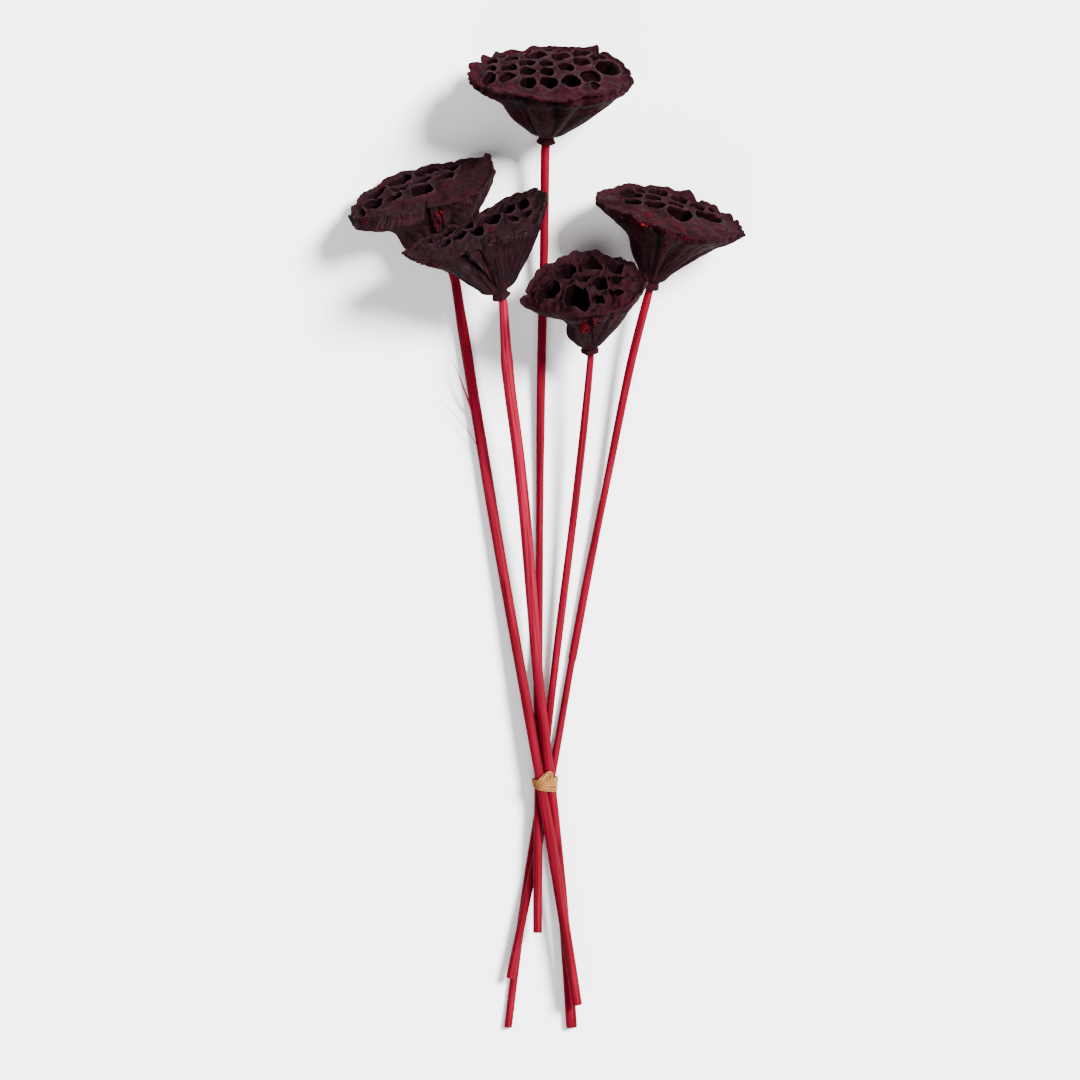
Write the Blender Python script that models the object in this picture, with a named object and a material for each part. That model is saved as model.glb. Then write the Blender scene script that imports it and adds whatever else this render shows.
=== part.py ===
"""A bunch of five dried lotus pods on their stems, held by one raffia tie, lying flat.

Metres, +Z up. The bunch lies along Y with its pods towards +Y, on the plane z = 0.
Each pod is one solid: a flared wall with folds, a ragged rim and a face pitted with
empty seed cells. Each stem is a stick of its own in the collar of its pod.
"""
import math

import bmesh
import bpy
import numpy as np
from mathutils import Matrix, Vector
from mathutils.geometry import delaunay_2d_cdt

MM = 0.001

# Driving dimensions, in millimetres

FIT_GAP = 0.3            # air between pieces that touch
COLLAR_RADIUS = 4.7      # lip of the collar that the stem is pushed into
COLLAR_WAIST = 4.0
SOCKET_DEPTH = 7.0
WALL_START = 4.2         # height over the collar's mouth where the wall begins to flare
WALL_SHARES = (0.04, 0.12, 0.26, 0.42, 0.58, 0.72, 0.84, 0.94)
TUCK = (0.57, 0.19)      # middle and reach of the tuck, as shares of the wall's height
ROLL = (0.86, 0.08)      # and of the roll under the rim
RIM_LIP = 1.5            # thickness of the dry lip round the face
FACE_DROP = 1.3          # the face lies this far below the lip
FACE_DOME = 2.4
CELL_LIP = 0.9           # raised net round every seed cell
AROUND = 48              # points round a pod
REST_BAND = 1.5          # what lies lower than this is pressed flat on the surface
CELL_SIDES = 8
CELL_STRETCH = 1.25      # the cells are longer in their up direction than across
INSIDE = 1               # the triangulation keeps what lies within the edges given to it
FACE_STEP = 8.5          # spacing of the points that carry the dome between the cells

TIE_Y = -131.2           # where the tie goes round the stems
TIE_WIDTH = 11.6
TIE_THICKNESS = 0.75
TIE_FOLD = 1.1           # the diagonal tuck on the upper side
TIE_GAP = 0.4            # air between the tie and the stems
TIE_AROUND = 36

# One row for each pod: mouth of the collar, heading to the right of +Y and lift over
# the surface in degrees, height of the rim over the collar, radii of the rim and its
# rise along the axis, every 30 degrees from the right over the upper side, the flare
# of the wall at each of WALL_SHARES of its height, how far it is tucked in half way up
# and rolls out under the rim, again every 30 degrees, the deep folds as (angle, depth,
# width), the seed cells as (right, up, radius) on the face, and the seed of its unevenness.
PODS = {
    "pod_1": dict(
        mouth=(-0.3, 206.0, 22.0), heading=4.5, lift=24.0, height=39.5,
        rim=(42.0, 42.0, 43.0, 44.0, 43.0, 42.5, 41.5, 41.5, 42.0, 42.0, 42.5, 42.0),
        rise=(-1.0, 0.5, 1.0, 0.0, -0.5, -3.0, -1.5, 1.5, -0.5, 0.0, 2.5, 1.0),
        flare=(0.10, 0.21, 0.38, 0.55, 0.71, 0.83, 0.93, 0.985),
        tuck=(1.0, 0.0, 0.0, 0.0, 1.5, 3.5, 3.5, 1.0, 0.0, 0.0, 0.0, 0.0),
        roll=(0.5, 1.0, 1.5, 1.5, 2.0, 3.0, 2.5, 0.5, 0.0, 0.0, 0.0, 0.0),
        folds=((62, 1.8, 9), (118, 2.2, 8), (200, 2.0, 10), (340, 1.6, 9)),
        cells=((-11, 26, 4.3), (0, 23.5, 4.5), (11.5, 19, 4.8), (-22, 18, 4.6), (-31, 12, 3.8),
               (-12, 9.5, 4.4), (-2, 9, 4.0), (21, 6.5, 5.5), (-22, 3, 4.2), (8, -3.5, 4.6),
               (-13, -6, 4.4), (-3, -5.5, 3.8), (15, -17, 4.3), (28.5, -12, 5.9), (-31, -6, 3.4),
               (-22, -12, 3.6), (-9.5, -21, 5.6), (3.5, -22, 4.8), (21.5, -26, 3.8), (11.5, -31, 3.8),
               (-19.5, -23, 3.2), (-28, -17, 2.8), (2.5, -33.5, 3.0), (-7, -33, 3.0)),
        depth=9.0, seed=11),
    "pod_2": dict(
        mouth=(-50.3, 142.5, 9.2), heading=-15.5, lift=27.0, height=45.0,
        rim=(36.0, 32.0, 24.0, 21.0, 27.0, 37.0, 44.0, 40.0, 34.0, 32.5, 34.0, 36.0),
        rise=(4.0, 0.5, -1.5, -1.0, 0.0, 1.0, -1.0, 1.0, 0.5, 0.0, 0.5, 3.0),
        flare=(0.12, 0.24, 0.40, 0.56, 0.71, 0.82, 0.91, 0.97),
        tuck=(4.0, 2.0, 0.0, 0.0, 4.0, 9.0, 8.0, 3.0, 0.0, 0.0, 0.0, 2.0),
        roll=(0.0, 0.0, 0.0, 0.0, 5.0, 8.0, 3.0, 0.0, 0.0, 0.0, 0.0, 0.0),
        folds=((70, 3.2, 9), (112, 1.6, 8), (150, 2.0, 9), (215, 1.8, 10), (30, 1.6, 8)),
        cells=((-31, -2, 5.2), (-19, 2, 5.0), (-4, 3, 5.2), (-24.5, -13.5, 4.8), (-11.5, -20, 4.9),
               (-2.5, -10, 4.2), (7.5, -20, 4.8), (10, -5, 4.6), (18, -13, 3.8), (-12, -8.5, 3.8)),
        depth=9.0, seed=23),
    "pod_3": dict(
        mouth=(-23.5, 124.0, 40.0), heading=-21.0, lift=27.0, height=40.5,
        rim=(40.0, 34.0, 23.0, 20.5, 24.0, 33.0, 38.0, 31.0, 20.5, 17.5, 22.0, 33.0),
        rise=(5.0, -0.5, 0.5, 0.0, -0.5, 1.5, 2.0, 0.0, -1.0, 0.0, 1.0, 4.0),
        flare=(0.12, 0.22, 0.36, 0.52, 0.67, 0.80, 0.90, 0.97),
        tuck=(0.0, 0.0, 0.0, 0.0, 0.0, 1.0, 1.0, 0.0, 0.0, 0.0, 0.0, 0.0),
        roll=(0.0, 0.5, 1.0, 1.0, 1.0, 1.0, 0.5, 0.0, 0.0, 0.0, 0.0, 0.0),
        folds=((95, 3.0, 8), (38, 2.4, 9), (182, 6.0, 26), (255, 2.0, 9)),
        cells=((-18, -5.5, 5.0), (-5, -5, 4.8), (8.5, -2.5, 5.0), (19.5, -5, 3.8), (-6, 7.5, 3.8),
               (4.5, 9, 3.6), (-28, 0.5, 3.6), (27, 5, 3.4), (-16, 6, 3.4)),
        depth=8.5, seed=37),
    "pod_4": dict(
        mouth=(22.9, 96.5, 27.0), heading=-5.0, lift=35.0, height=41.0,
        rim=(32.0, 31.5, 30.0, 29.5, 29.5, 30.5, 32.5, 31.0, 29.5, 29.5, 30.0, 31.0),
        rise=(0.0, 1.0, -1.0, 0.5, 0.0, -3.0, -7.0, -2.0, 0.5, 1.5, 0.0, -0.5),
        flare=(0.09, 0.18, 0.33, 0.48, 0.63, 0.76, 0.88, 0.96),
        tuck=(0.0, 0.0, 0.0, 0.0, 2.0, 7.0, 6.0, 1.0, 0.0, 0.0, 0.0, 0.0),
        roll=(0.0, 0.5, 1.0, 1.0, 1.0, 1.0, 1.0, 0.0, 0.0, 0.0, 0.0, 0.0),
        folds=((80, 2.2, 9), (125, 1.8, 9), (190, 4.5, 24), (310, 1.6, 9)),
        cells=((-5.5, 14.5, 6.4), (-18, 2, 5.4), (-10.5, -14.5, 6.0), (5, -18, 4.8), (16.5, -14, 3.9),
               (14.5, -1.5, 4.9), (12, 11, 4.2), (0, -2.5, 4.4)),
        depth=9.0, seed=41),
    "pod_5": dict(
        mouth=(54.4, 130.0, 19.8), heading=14.5, lift=19.0, height=42.5,
        rim=(39.5, 38.0, 36.5, 35.0, 36.5, 38.0, 38.5, 38.0, 36.5, 36.5, 37.5, 39.0),
        rise=(-0.5, 1.0, -0.5, 0.0, 0.5, -1.0, -1.0, 1.0, 1.0, 3.5, 4.0, 2.0),
        flare=(0.06, 0.12, 0.24, 0.41, 0.59, 0.75, 0.87, 0.965),
        tuck=(0.0, 0.0, 0.0, 0.0, 2.0, 7.0, 6.0, 1.0, 0.0, 0.0, 0.0, 0.0),
        roll=(2.0, 2.0, 1.5, 1.0, 1.0, 1.0, 0.0, 0.0, 0.0, 0.0, 0.0, 0.0),
        folds=((75, 2.0, 8), (110, 1.6, 8), (160, 1.8, 9), (250, 1.8, 10), (352, 3.5, 20)),
        cells=((-22, -11, 5.6), (-9, 0.5, 5.3), (5, 3.5, 6.2), (21.5, -7.5, 6.2), (-9.5, -13.5, 4.8),
               (-7, -25.5, 4.2), (8, -24, 5.0), (5, -10.5, 4.2), (-22, 3, 4.0), (20, -21, 3.6),
               (17, 9, 4.2), (-4, 13, 4.0)),
        depth=9.0, seed=53),
}

# One row for each stem: its radius and the points that its middle line passes, from
# the cut end to just below the collar.
STEMS = {
    "stem_1": (2.4, ((-4.7, -209.5, 13.2), (-4.6, -175.0, 11.0), (-4.1, -131.2, 8.1),
                     (-4.4, -87.0, 5.6), (-3.4, -30.0, 2.9), (-2.4, 30.0, 3.0),
                     (-1.6, 95.0, 6.8), (-0.8, 150.0, 12.8))),
    "stem_2": (2.5, ((16.2, -247.5, 14.4), (5.6, -183.0, 14.2), (-2.8, -131.2, 13.3),
                     (-12.2, -82.0, 10.6), (-26.8, -2.0, 6.2), (-37.6, 60.0, 4.6),
                     (-43.9, 104.0, 4.0))),
    "stem_3": (2.85, ((13.0, -260.5, 3.0), (7.2, -193.0, 5.1), (2.05, -131.2, 10.2),
                      (-1.6, -87.0, 12.7), (-8.2, -13.0, 18.2), (-14.5, 50.0, 26.3),
                      (-21.0, 88.0, 32.2))),
    "stem_4": (1.95, ((-20.1, -260.5, 2.1), (-8.7, -182.5, 2.3), (-2.3, -131.2, 3.4),
                      (1.9, -92.5, 4.9), (10.3, -18.0, 10.5), (19.3, 56.0, 19.4))),
    "stem_5": (2.0, ((-18.5, -234.0, 7.7), (-6.9, -182.5, 6.3), (2.3, -131.2, 4.3),
                     (9.8, -87.0, 2.8), (24.0, -13.0, 3.8), (39.4, 60.0, 9.4),
                     (47.0, 97.0, 13.6))),
}
STEM_POINTS = 26
STEM_SIDES_LEVEL = 2
NECK_BEND = 10.0         # the stem runs straight into its collar for this length

# Colours: linear red, green, blue, with roughness
POD_COLOUR = (0.030, 0.011, 0.010, 0.72)
STEM_COLOUR = (0.330, 0.016, 0.024, 0.55)
TIE_COLOUR = (0.560, 0.310, 0.160, 0.65)


def clear_scene():
    """Removes every object, so that the bunch is alone."""
    for item in list(bpy.data.objects):
        bpy.data.objects.remove(item, do_unlink=True)


def make_material(name, colour):
    """A Principled BSDF with one colour and roughness."""
    material = bpy.data.materials.new(name)
    material.use_nodes = True
    shader = material.node_tree.nodes["Principled BSDF"]
    shader.inputs["Base Color"].default_value = (*colour[:3], 1.0)
    shader.inputs["Roughness"].default_value = colour[3]
    return material


def smooth_route(points, count):
    """A natural cubic spline through the points, read at count even steps of length."""
    points = np.array(points, dtype=float)
    knots = np.concatenate(([0.0], np.cumsum(np.linalg.norm(np.diff(points, axis=0), axis=1))))
    gaps = np.diff(knots)
    system = np.eye(len(points))
    target = np.zeros_like(points)
    for i in range(1, len(points) - 1):
        system[i, i - 1:i + 2] = gaps[i - 1], 2 * (gaps[i - 1] + gaps[i]), gaps[i]
        target[i] = 6 * ((points[i + 1] - points[i]) / gaps[i] - (points[i] - points[i - 1]) / gaps[i - 1])
    bend = np.linalg.solve(system, target)
    at = np.linspace(0.0, knots[-1], count)
    span = np.clip(np.searchsorted(knots, at, side="right") - 1, 0, len(gaps) - 1)
    width = gaps[span][:, None]
    before = (knots[span + 1] - at)[:, None]
    after = (at - knots[span])[:, None]
    return (bend[span] * before**3 + bend[span + 1] * after**3) / (6 * width) \
        + (points[span] / width - bend[span] * width / 6) * before \
        + (points[span + 1] / width - bend[span + 1] * width / 6) * after


def pod_frame(pod):
    """The pod's own frame: +Z out of the face, +X to the right, +Y up from the surface."""
    heading, lift = math.radians(pod["heading"]), math.radians(pod["lift"])
    axis = Vector((math.sin(heading) * math.cos(lift), math.cos(heading) * math.cos(lift), math.sin(lift)))
    right = Vector((math.cos(heading), -math.sin(heading), 0.0))
    up = axis.cross(-right)
    turn = Matrix((right, up, axis)).transposed()   # a mirrored frame, so faces are turned later
    return turn, Vector(pod["mouth"])


def around(values, angles):
    """Values given every 30 degrees, read at any angle with a smooth periodic curve."""
    terms = np.fft.rfft(np.array(values, dtype=float))
    total = np.full(len(angles), terms[0].real)
    for order in range(1, len(terms)):
        weight = 2.0 if order < len(values) / 2 else 1.0
        total += weight * (terms[order].real * np.cos(order * angles)
                           - terms[order].imag * np.sin(order * angles))
    return total / len(values)


def bell(share, place):
    """1 at the middle of a place, falling off over its reach."""
    return math.exp(-((share - place[0]) / place[1])**2)


def pod_rings(pod, stem_radius):
    """Rings of points from the bottom of the socket, out over the collar and up to the lip."""
    angles = np.linspace(0.0, 2 * math.pi, AROUND, endpoint=False)
    dice = np.random.default_rng(pod["seed"])
    rim = around(pod["rim"], angles) + dice.uniform(-0.9, 0.9, AROUND)
    rise = around(pod["rise"], angles) + dice.uniform(-0.8, 0.8, AROUND)
    crease = np.zeros(AROUND)
    for angle, depth, width in pod["folds"]:
        away = (angles - math.radians(angle) + math.pi) % (2 * math.pi) - math.pi
        crease += depth * np.exp(-(away / math.radians(width))**2)
    ribs = 0.5 * np.cos(11 * angles + pod["seed"]) + 0.4 * np.cos(17 * angles + 2 * pod["seed"])

    def ring(radius, height):
        radius = np.broadcast_to(radius, AROUND)
        height = np.broadcast_to(height, AROUND)
        return np.stack((radius * np.cos(angles), radius * np.sin(angles), height), axis=1)

    bore = stem_radius + FIT_GAP
    rings = [ring(bore, SOCKET_DEPTH), ring(bore, 0.0), ring(COLLAR_RADIUS - 0.4, 0.0),
             ring(COLLAR_RADIUS, 1.2), ring(COLLAR_WAIST, 3.0)]
    tuck, roll = around(pod["tuck"], angles), around(pod["roll"], angles)
    for share, flare in zip(WALL_SHARES, pod["flare"]):
        swell = math.sin(math.pi * share)
        radius = COLLAR_WAIST + (rim - COLLAR_WAIST) * flare - (crease - ribs) * swell
        radius += roll * bell(share, ROLL) - tuck * bell(share, TUCK)
        height = WALL_START + (pod["height"] - WALL_START) * share + rise * share**2
        rings.append(ring(radius, height))
    top = pod["height"] + rise
    rings.append(ring(rim, top))
    rings.append(ring(rim - RIM_LIP, top + 0.2))
    rings.append(ring(rim - RIM_LIP - 1.3, top - FACE_DROP))
    return rings


def support_places(edge, cells):
    """Places on the face that are clear of its edge and of every cell."""
    span = math.ceil(max(point.xy.length for point in edge) / FACE_STEP)
    places = []
    for row in range(-span, span + 1):
        for column in range(-span, span + 1):
            x, y = (column + row % 2 / 2) * FACE_STEP, row * FACE_STEP * 0.87
            step = round(math.atan2(y, x) / (2 * math.pi) * AROUND) % AROUND
            inside = math.hypot(x, y) < 0.85 * edge[step].xy.length
            if inside and all(math.hypot(x - cx, (y - cy) / CELL_STRETCH) > radius + 2.2
                              for cx, cy, radius in cells):
                places.append((x, y))
    return places


def fill_face(mesh, loops, support):
    """Joins the edge of the face, its cells and the support points with triangles, and
    leaves the cells open."""
    verts = [vert for loop in loops for vert in loop] + support
    edges = []
    owners = []
    for number, loop in enumerate(loops):
        start = len(owners)
        edges += [(start + k, start + (k + 1) % len(loop)) for k in range(len(loop))]
        owners += [number] * len(loop)
    owners += [0] * len(support)
    result = delaunay_2d_cdt([vert.co.xy for vert in verts], edges, [], INSIDE, 1e-4)
    triangles, sources = result[2], result[3]
    for triangle in triangles:
        corners = [sources[k][0] for k in triangle]
        if len({owners[k] for k in corners}) > 1 or owners[corners[0]] == 0:
            mesh.faces.new([verts[k] for k in corners])


def build_pod(name, pod, stem_radius):
    """One pod: rings joined into a wall, a face between them, and cells sunk into the face."""
    mesh = bmesh.new()
    rings = [[mesh.verts.new(point) for point in ring] for ring in pod_rings(pod, stem_radius)]
    mesh.faces.new(reversed(rings[0]))
    for lower, upper in zip(rings, rings[1:]):
        for i in range(AROUND):
            j = (i + 1) % AROUND
            mesh.faces.new((lower[i], lower[j], upper[j], upper[i]))

    dice = np.random.default_rng(pod["seed"] + 2)
    edge = [vert.co.copy() for vert in rings[-1]]

    def face_point(x, y):
        """A point of the face: it follows its uneven edge outside and is a low dome inside."""
        step = math.atan2(y, x) / (2 * math.pi) * AROUND
        first = math.floor(step)
        outer = edge[first % AROUND].lerp(edge[(first + 1) % AROUND], step - first)
        reach = min(1.0, math.hypot(x, y) / math.hypot(outer.x, outer.y))
        level = pod["height"] - FACE_DROP
        dome = FACE_DOME * (1 - reach**2) + 0.7 * math.sin(0.12 * x + pod["seed"]) * (1 - reach)
        return Vector((x, y, level + (outer.z - level) * reach**2 + dome))

    cells = []
    for x, y, radius in pod["cells"]:
        turn = dice.uniform(0.0, math.pi)
        loop = []
        for k in range(CELL_SIDES):
            angle = turn + 2 * math.pi * k / CELL_SIDES
            loop.append(mesh.verts.new(face_point(x + radius * math.cos(angle),
                                                  y + radius * CELL_STRETCH * math.sin(angle))))
        cells.append((face_point(x, y), loop, dice.uniform(0.85, 1.1)))
    support = [mesh.verts.new(face_point(x, y)) for x, y in support_places(edge, pod["cells"])]
    fill_face(mesh, [rings[-1]] + [loop for _, loop, _ in cells], support)

    root = Vector((0.0, 0.0, pod["height"] * 0.2))
    for heart, loop, deep in cells:
        inward = (root - heart).normalized()
        nearness = math.hypot(heart.x, heart.y) / min(pod["rim"])
        depth = pod["depth"] * deep * min(1.0, 1.45 - nearness * 0.7)
        steps = ((0.93, -CELL_LIP), (0.80, -CELL_LIP), (0.52, depth))
        below = loop
        for share, sink in steps:
            ring = [mesh.verts.new(heart + (vert.co - heart) * share + inward * sink) for vert in loop]
            for k in range(CELL_SIDES):
                m = (k + 1) % CELL_SIDES
                mesh.faces.new((below[k], below[m], ring[m], ring[k]))
            below = ring
        mesh.faces.new(below)

    bmesh.ops.triangulate(mesh, faces=[face for face in mesh.faces if len(face.verts) > 4])
    turn, mouth = pod_frame(pod)
    place = Matrix.Translation(mouth * MM) @ turn.to_4x4() @ Matrix.Scale(MM, 4)
    bmesh.ops.transform(mesh, matrix=place, verts=mesh.verts)
    bmesh.ops.recalc_face_normals(mesh, faces=mesh.faces)
    press_flat(mesh)
    return add_mesh(name, mesh, "pod")


def press_flat(mesh):
    """Presses the lowest part of a rim into the small flat spot that it rests on."""
    for vert in mesh.verts:
        if vert.co.z < REST_BAND * MM:
            vert.co.z = 0.0


def add_mesh(name, mesh, material):
    """Makes an object of a bmesh, smooth with its sharp folds kept."""
    data = bpy.data.meshes.new(name)
    mesh.to_mesh(data)
    mesh.free()
    item = bpy.data.objects.new(name, data)
    BUNCH.objects.link(item)
    data.materials.append(MATERIALS[material])
    data.shade_smooth()
    data.set_sharp_from_angle(angle=math.radians(40))
    return item


def stem_route(name):
    """The stem's middle line, from its cut end to the bottom of its socket."""
    pod = PODS[name.replace("stem", "pod")]
    turn, mouth = pod_frame(pod)
    axis = turn.col[2]
    radius, points = STEMS[name]
    points = [Vector(point) for point in points]
    straight = [mouth - axis * NECK_BEND, mouth - axis * NECK_BEND * 0.5, mouth,
                mouth + axis * (SOCKET_DEPTH - FIT_GAP)]
    route = smooth_route(points + straight[:1], STEM_POINTS)
    return np.vstack((route, [tuple(point) for point in straight[1:]]))


def build_stem(name):
    """One stem: a bevelled curve with filled caps, a little thicker towards its cut end."""
    radius = STEMS[name][0]
    route = stem_route(name)
    curve = bpy.data.curves.new(name, "CURVE")
    curve.dimensions = "3D"
    curve.bevel_depth = radius * MM
    curve.bevel_resolution = STEM_SIDES_LEVEL
    curve.use_fill_caps = True
    spline = curve.splines.new("POLY")
    spline.points.add(len(route) - 1)
    for point, place in zip(spline.points, route):
        point.co = (*(Vector(place) * MM), 1.0)
    item = bpy.data.objects.new(name, curve)
    BUNCH.objects.link(item)
    curve.materials.append(MATERIALS["stem"])
    return item


def build_tie():
    """The raffia band: pulled tight round the stems where they cross it, with one tuck on top."""
    stations = np.linspace(-0.5, 0.5, 5) * TIE_WIDTH
    angles = np.linspace(0.0, 2 * math.pi, TIE_AROUND, endpoint=False)
    facing = np.stack((np.cos(angles), np.sin(angles)), axis=1)
    routes = {name: (STEMS[name][0], stem_route(name)) for name in STEMS}
    hearts = np.array([[np.interp(TIE_Y, route[:, 1], route[:, axis]) for axis in (0, 2)]
                       for _, route in routes.values()])
    heart = (hearts.min(axis=0) + hearts.max(axis=0)) / 2
    mesh = bmesh.new()
    inner, outer = [], []
    for station in stations:
        y = TIE_Y + station
        reach = np.zeros(TIE_AROUND)
        for radius, route in routes.values():
            spot = np.array([np.interp(y, route[:, 1], route[:, axis]) for axis in (0, 2)]) - heart
            reach = np.maximum(reach, facing @ spot + radius + TIE_GAP)
        turned = np.cos(angles[:, None] - angles[None, :])
        inside = np.where(turned > 0.2, reach[None, :] / np.maximum(turned, 0.2), np.inf).min(axis=1)
        tuck = np.exp(-((angles - math.radians(88) - station * 0.07) / 0.24)**2)
        thick = TIE_THICKNESS + TIE_FOLD * tuck
        for rows, radius in ((inner, inside), (outer, inside + thick)):
            rows.append([mesh.verts.new((heart[0] + r * c, y, heart[1] + r * s))
                         for r, (c, s) in zip(radius, facing)])
    loops = outer + inner[::-1]
    for first, second in zip(loops, loops[1:] + loops[:1]):
        for i in range(TIE_AROUND):
            j = (i + 1) % TIE_AROUND
            mesh.faces.new((first[i], first[j], second[j], second[i]))
    bmesh.ops.recalc_face_normals(mesh, faces=mesh.faces)
    bmesh.ops.transform(mesh, matrix=Matrix.Scale(MM, 4), verts=mesh.verts)
    return add_mesh("tie", mesh, "tie")


clear_scene()
BUNCH = bpy.data.collections.new("dried_lotus_pods")
bpy.context.scene.collection.children.link(BUNCH)
MATERIALS = {
    "pod": make_material("pod", POD_COLOUR),
    "stem": make_material("stem", STEM_COLOUR),
    "tie": make_material("tie", TIE_COLOUR),
}
for pod_name, pod_row in PODS.items():
    build_pod(pod_name, pod_row, STEMS[pod_name.replace("pod", "stem")][0])
for stem_name in STEMS:
    build_stem(stem_name)
build_tie()
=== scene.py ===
import math

import bpy
import numpy as np
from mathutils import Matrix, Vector
from mathutils.geometry import delaunay_2d_cdt


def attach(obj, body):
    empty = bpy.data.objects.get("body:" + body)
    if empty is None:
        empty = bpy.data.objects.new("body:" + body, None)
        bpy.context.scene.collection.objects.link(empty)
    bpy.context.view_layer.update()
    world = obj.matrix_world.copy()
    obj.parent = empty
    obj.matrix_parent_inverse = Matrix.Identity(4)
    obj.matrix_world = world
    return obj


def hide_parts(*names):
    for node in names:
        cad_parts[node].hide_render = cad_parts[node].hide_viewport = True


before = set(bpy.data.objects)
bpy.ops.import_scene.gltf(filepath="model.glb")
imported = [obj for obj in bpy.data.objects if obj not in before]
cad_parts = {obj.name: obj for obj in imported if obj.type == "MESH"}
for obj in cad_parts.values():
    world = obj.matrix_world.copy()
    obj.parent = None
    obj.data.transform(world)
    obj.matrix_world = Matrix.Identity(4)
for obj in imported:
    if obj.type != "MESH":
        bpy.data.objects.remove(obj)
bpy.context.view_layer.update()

# The stems are five dried lotus stalks, dyed crimson and cut to different lengths. Each
# is a stick of its own, pushed into the collar of its pod, and they cross each other
# where the raffia holds them. Each is a tube carried along a smooth line.

MM = 0.001

# Mouth of each pod's collar, its heading to the right of +Y and its lift, in degrees
POD_PLACES = {
    "pod_1": ((-0.3, 206.0, 22.0), 4.5, 24.0),
    "pod_2": ((-50.3, 142.5, 9.2), -15.5, 27.0),
    "pod_3": ((-23.5, 124.0, 40.0), -21.0, 27.0),
    "pod_4": ((22.9, 96.5, 27.0), -5.0, 35.0),
    "pod_5": ((54.4, 130.0, 19.8), 14.5, 19.0),
}
SOCKET_DEPTH = 7.0
FIT_GAP = 0.3

# Points of each stem's middle line, then its radius at places along +Y, from the cut end
STEMS = {
    "stem_1": (((-4.7, -209.5, 13.2), (-4.6, -175.0, 11.0), (-4.1, -131.2, 8.1), (-4.4, -87.0, 5.6),
                (-3.9, -30.0, 2.9), (-3.3, 30.0, 3.0), (-2.6, 95.0, 6.8), (-1.3, 150.0, 12.8)),
               ((-210, 2.4), (-60, 2.3), (0, 1.95), (30, 2.0), (50, 2.2), (110, 2.35), (206, 2.35))),
    "stem_2": (((16.2, -247.5, 14.4), (5.9, -183.0, 14.2), (-2.8, -131.2, 13.3), (-11.6, -82.0, 10.6),
                (-25.8, -2.0, 6.2), (-36.3, 60.0, 4.6), (-43.4, 104.0, 4.0)),
               ((-247, 2.75), (-160, 2.8), (-131, 2.5), (-90, 2.75), (0, 2.8), (50, 2.95), (110, 2.95),
                (124, 2.6), (142, 2.45))),
    "stem_3": (((13.3, -260.5, 3.0), (8.5, -193.0, 5.1), (2.05, -131.2, 10.2), (-3.1, -87.0, 12.9),
                (-9.3, -13.0, 18.2), (-15.6, 50.0, 26.3), (-20.5, 88.0, 32.4), (-21.7, 107.0, 36.0)),
               ((-260, 2.85), (-131, 2.8), (-60, 2.9), (8, 3.05), (71, 3.3), (90, 3.4), (97, 2.95),
                (112, 2.5), (124, 2.3))),
    "stem_4": (((-20.4, -260.5, 2.3), (-10.0, -182.5, 2.4), (-2.3, -131.2, 3.4), (1.9, -92.5, 4.9),
                (10.9, -18.0, 10.5), (19.6, 56.0, 19.4)),
               ((-260, 2.1), (-160, 2.1), (-131, 1.9), (-40, 2.1), (60, 2.1), (96, 1.85))),
    "stem_5": (((-19.2, -234.0, 7.7), (-8.3, -182.5, 6.4), (2.3, -131.2, 4.3), (9.9, -87.0, 2.8),
                (23.7, -13.0, 3.8), (38.2, 60.0, 9.4), (46.0, 97.0, 13.6)),
               ((-234, 2.2), (-160, 2.1), (-131, 1.85), (-66.5, 1.85), (-65, 2.2), (-30, 2.1), (8, 1.95),
                (50, 2.1), (90, 2.3), (122, 2.3), (130, 2.0))),
}
# Length that runs straight into the collar, and how pale the upper part is: dye rubbed off, with painted
# sheen
NECKS = {"stem_1": 5.0, "stem_2": 10.0, "stem_3": 3.0, "stem_4": 4.0, "stem_5": 10.0}
RUBBED_AND_SHEEN = {"stem_1": 0.0, "stem_2": 0.2, "stem_3": 0.8, "stem_4": 0.25, "stem_5": 0.05}
STEM_ROWS = 300
STEM_COLUMNS = 40
FURROW_DEPTH = 0.055     # of the radius
LUMP_HEIGHT = 0.022      # of the radius
DRY_GLOSS = 0.01         # specular level of dried plant skin, which hardly mirrors light
BLEND = {"data_type": "RGBA"}      # of a Mix node, whose colours are inputs 6 and 7 and output 2


def colour(hex_code):
    """An sRGB hex colour as linear red, green, blue and alpha."""
    parts = [int(hex_code[i:i + 2], 16) / 255 for i in (1, 3, 5)]
    return tuple(p / 12.92 if p <= 0.04045 else ((p + 0.055) / 1.055)**2.4 for p in parts) + (1.0,)


def add_node(tree, kind, settings=None, values=None, links=None, result=0):
    """Adds a shader node with its settings, the values of its inputs and the sockets that
    feed them, and gives back its output socket."""
    node = tree.nodes.new("ShaderNode" + kind)
    for key, value in (settings or {}).items():
        setattr(node, key, value)
    for key, value in (values or {}).items():
        node.inputs[key].default_value = value
    for key, socket in (links or {}).items():
        tree.links.new(socket, node.inputs[key])
    return node.outputs[result]


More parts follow.
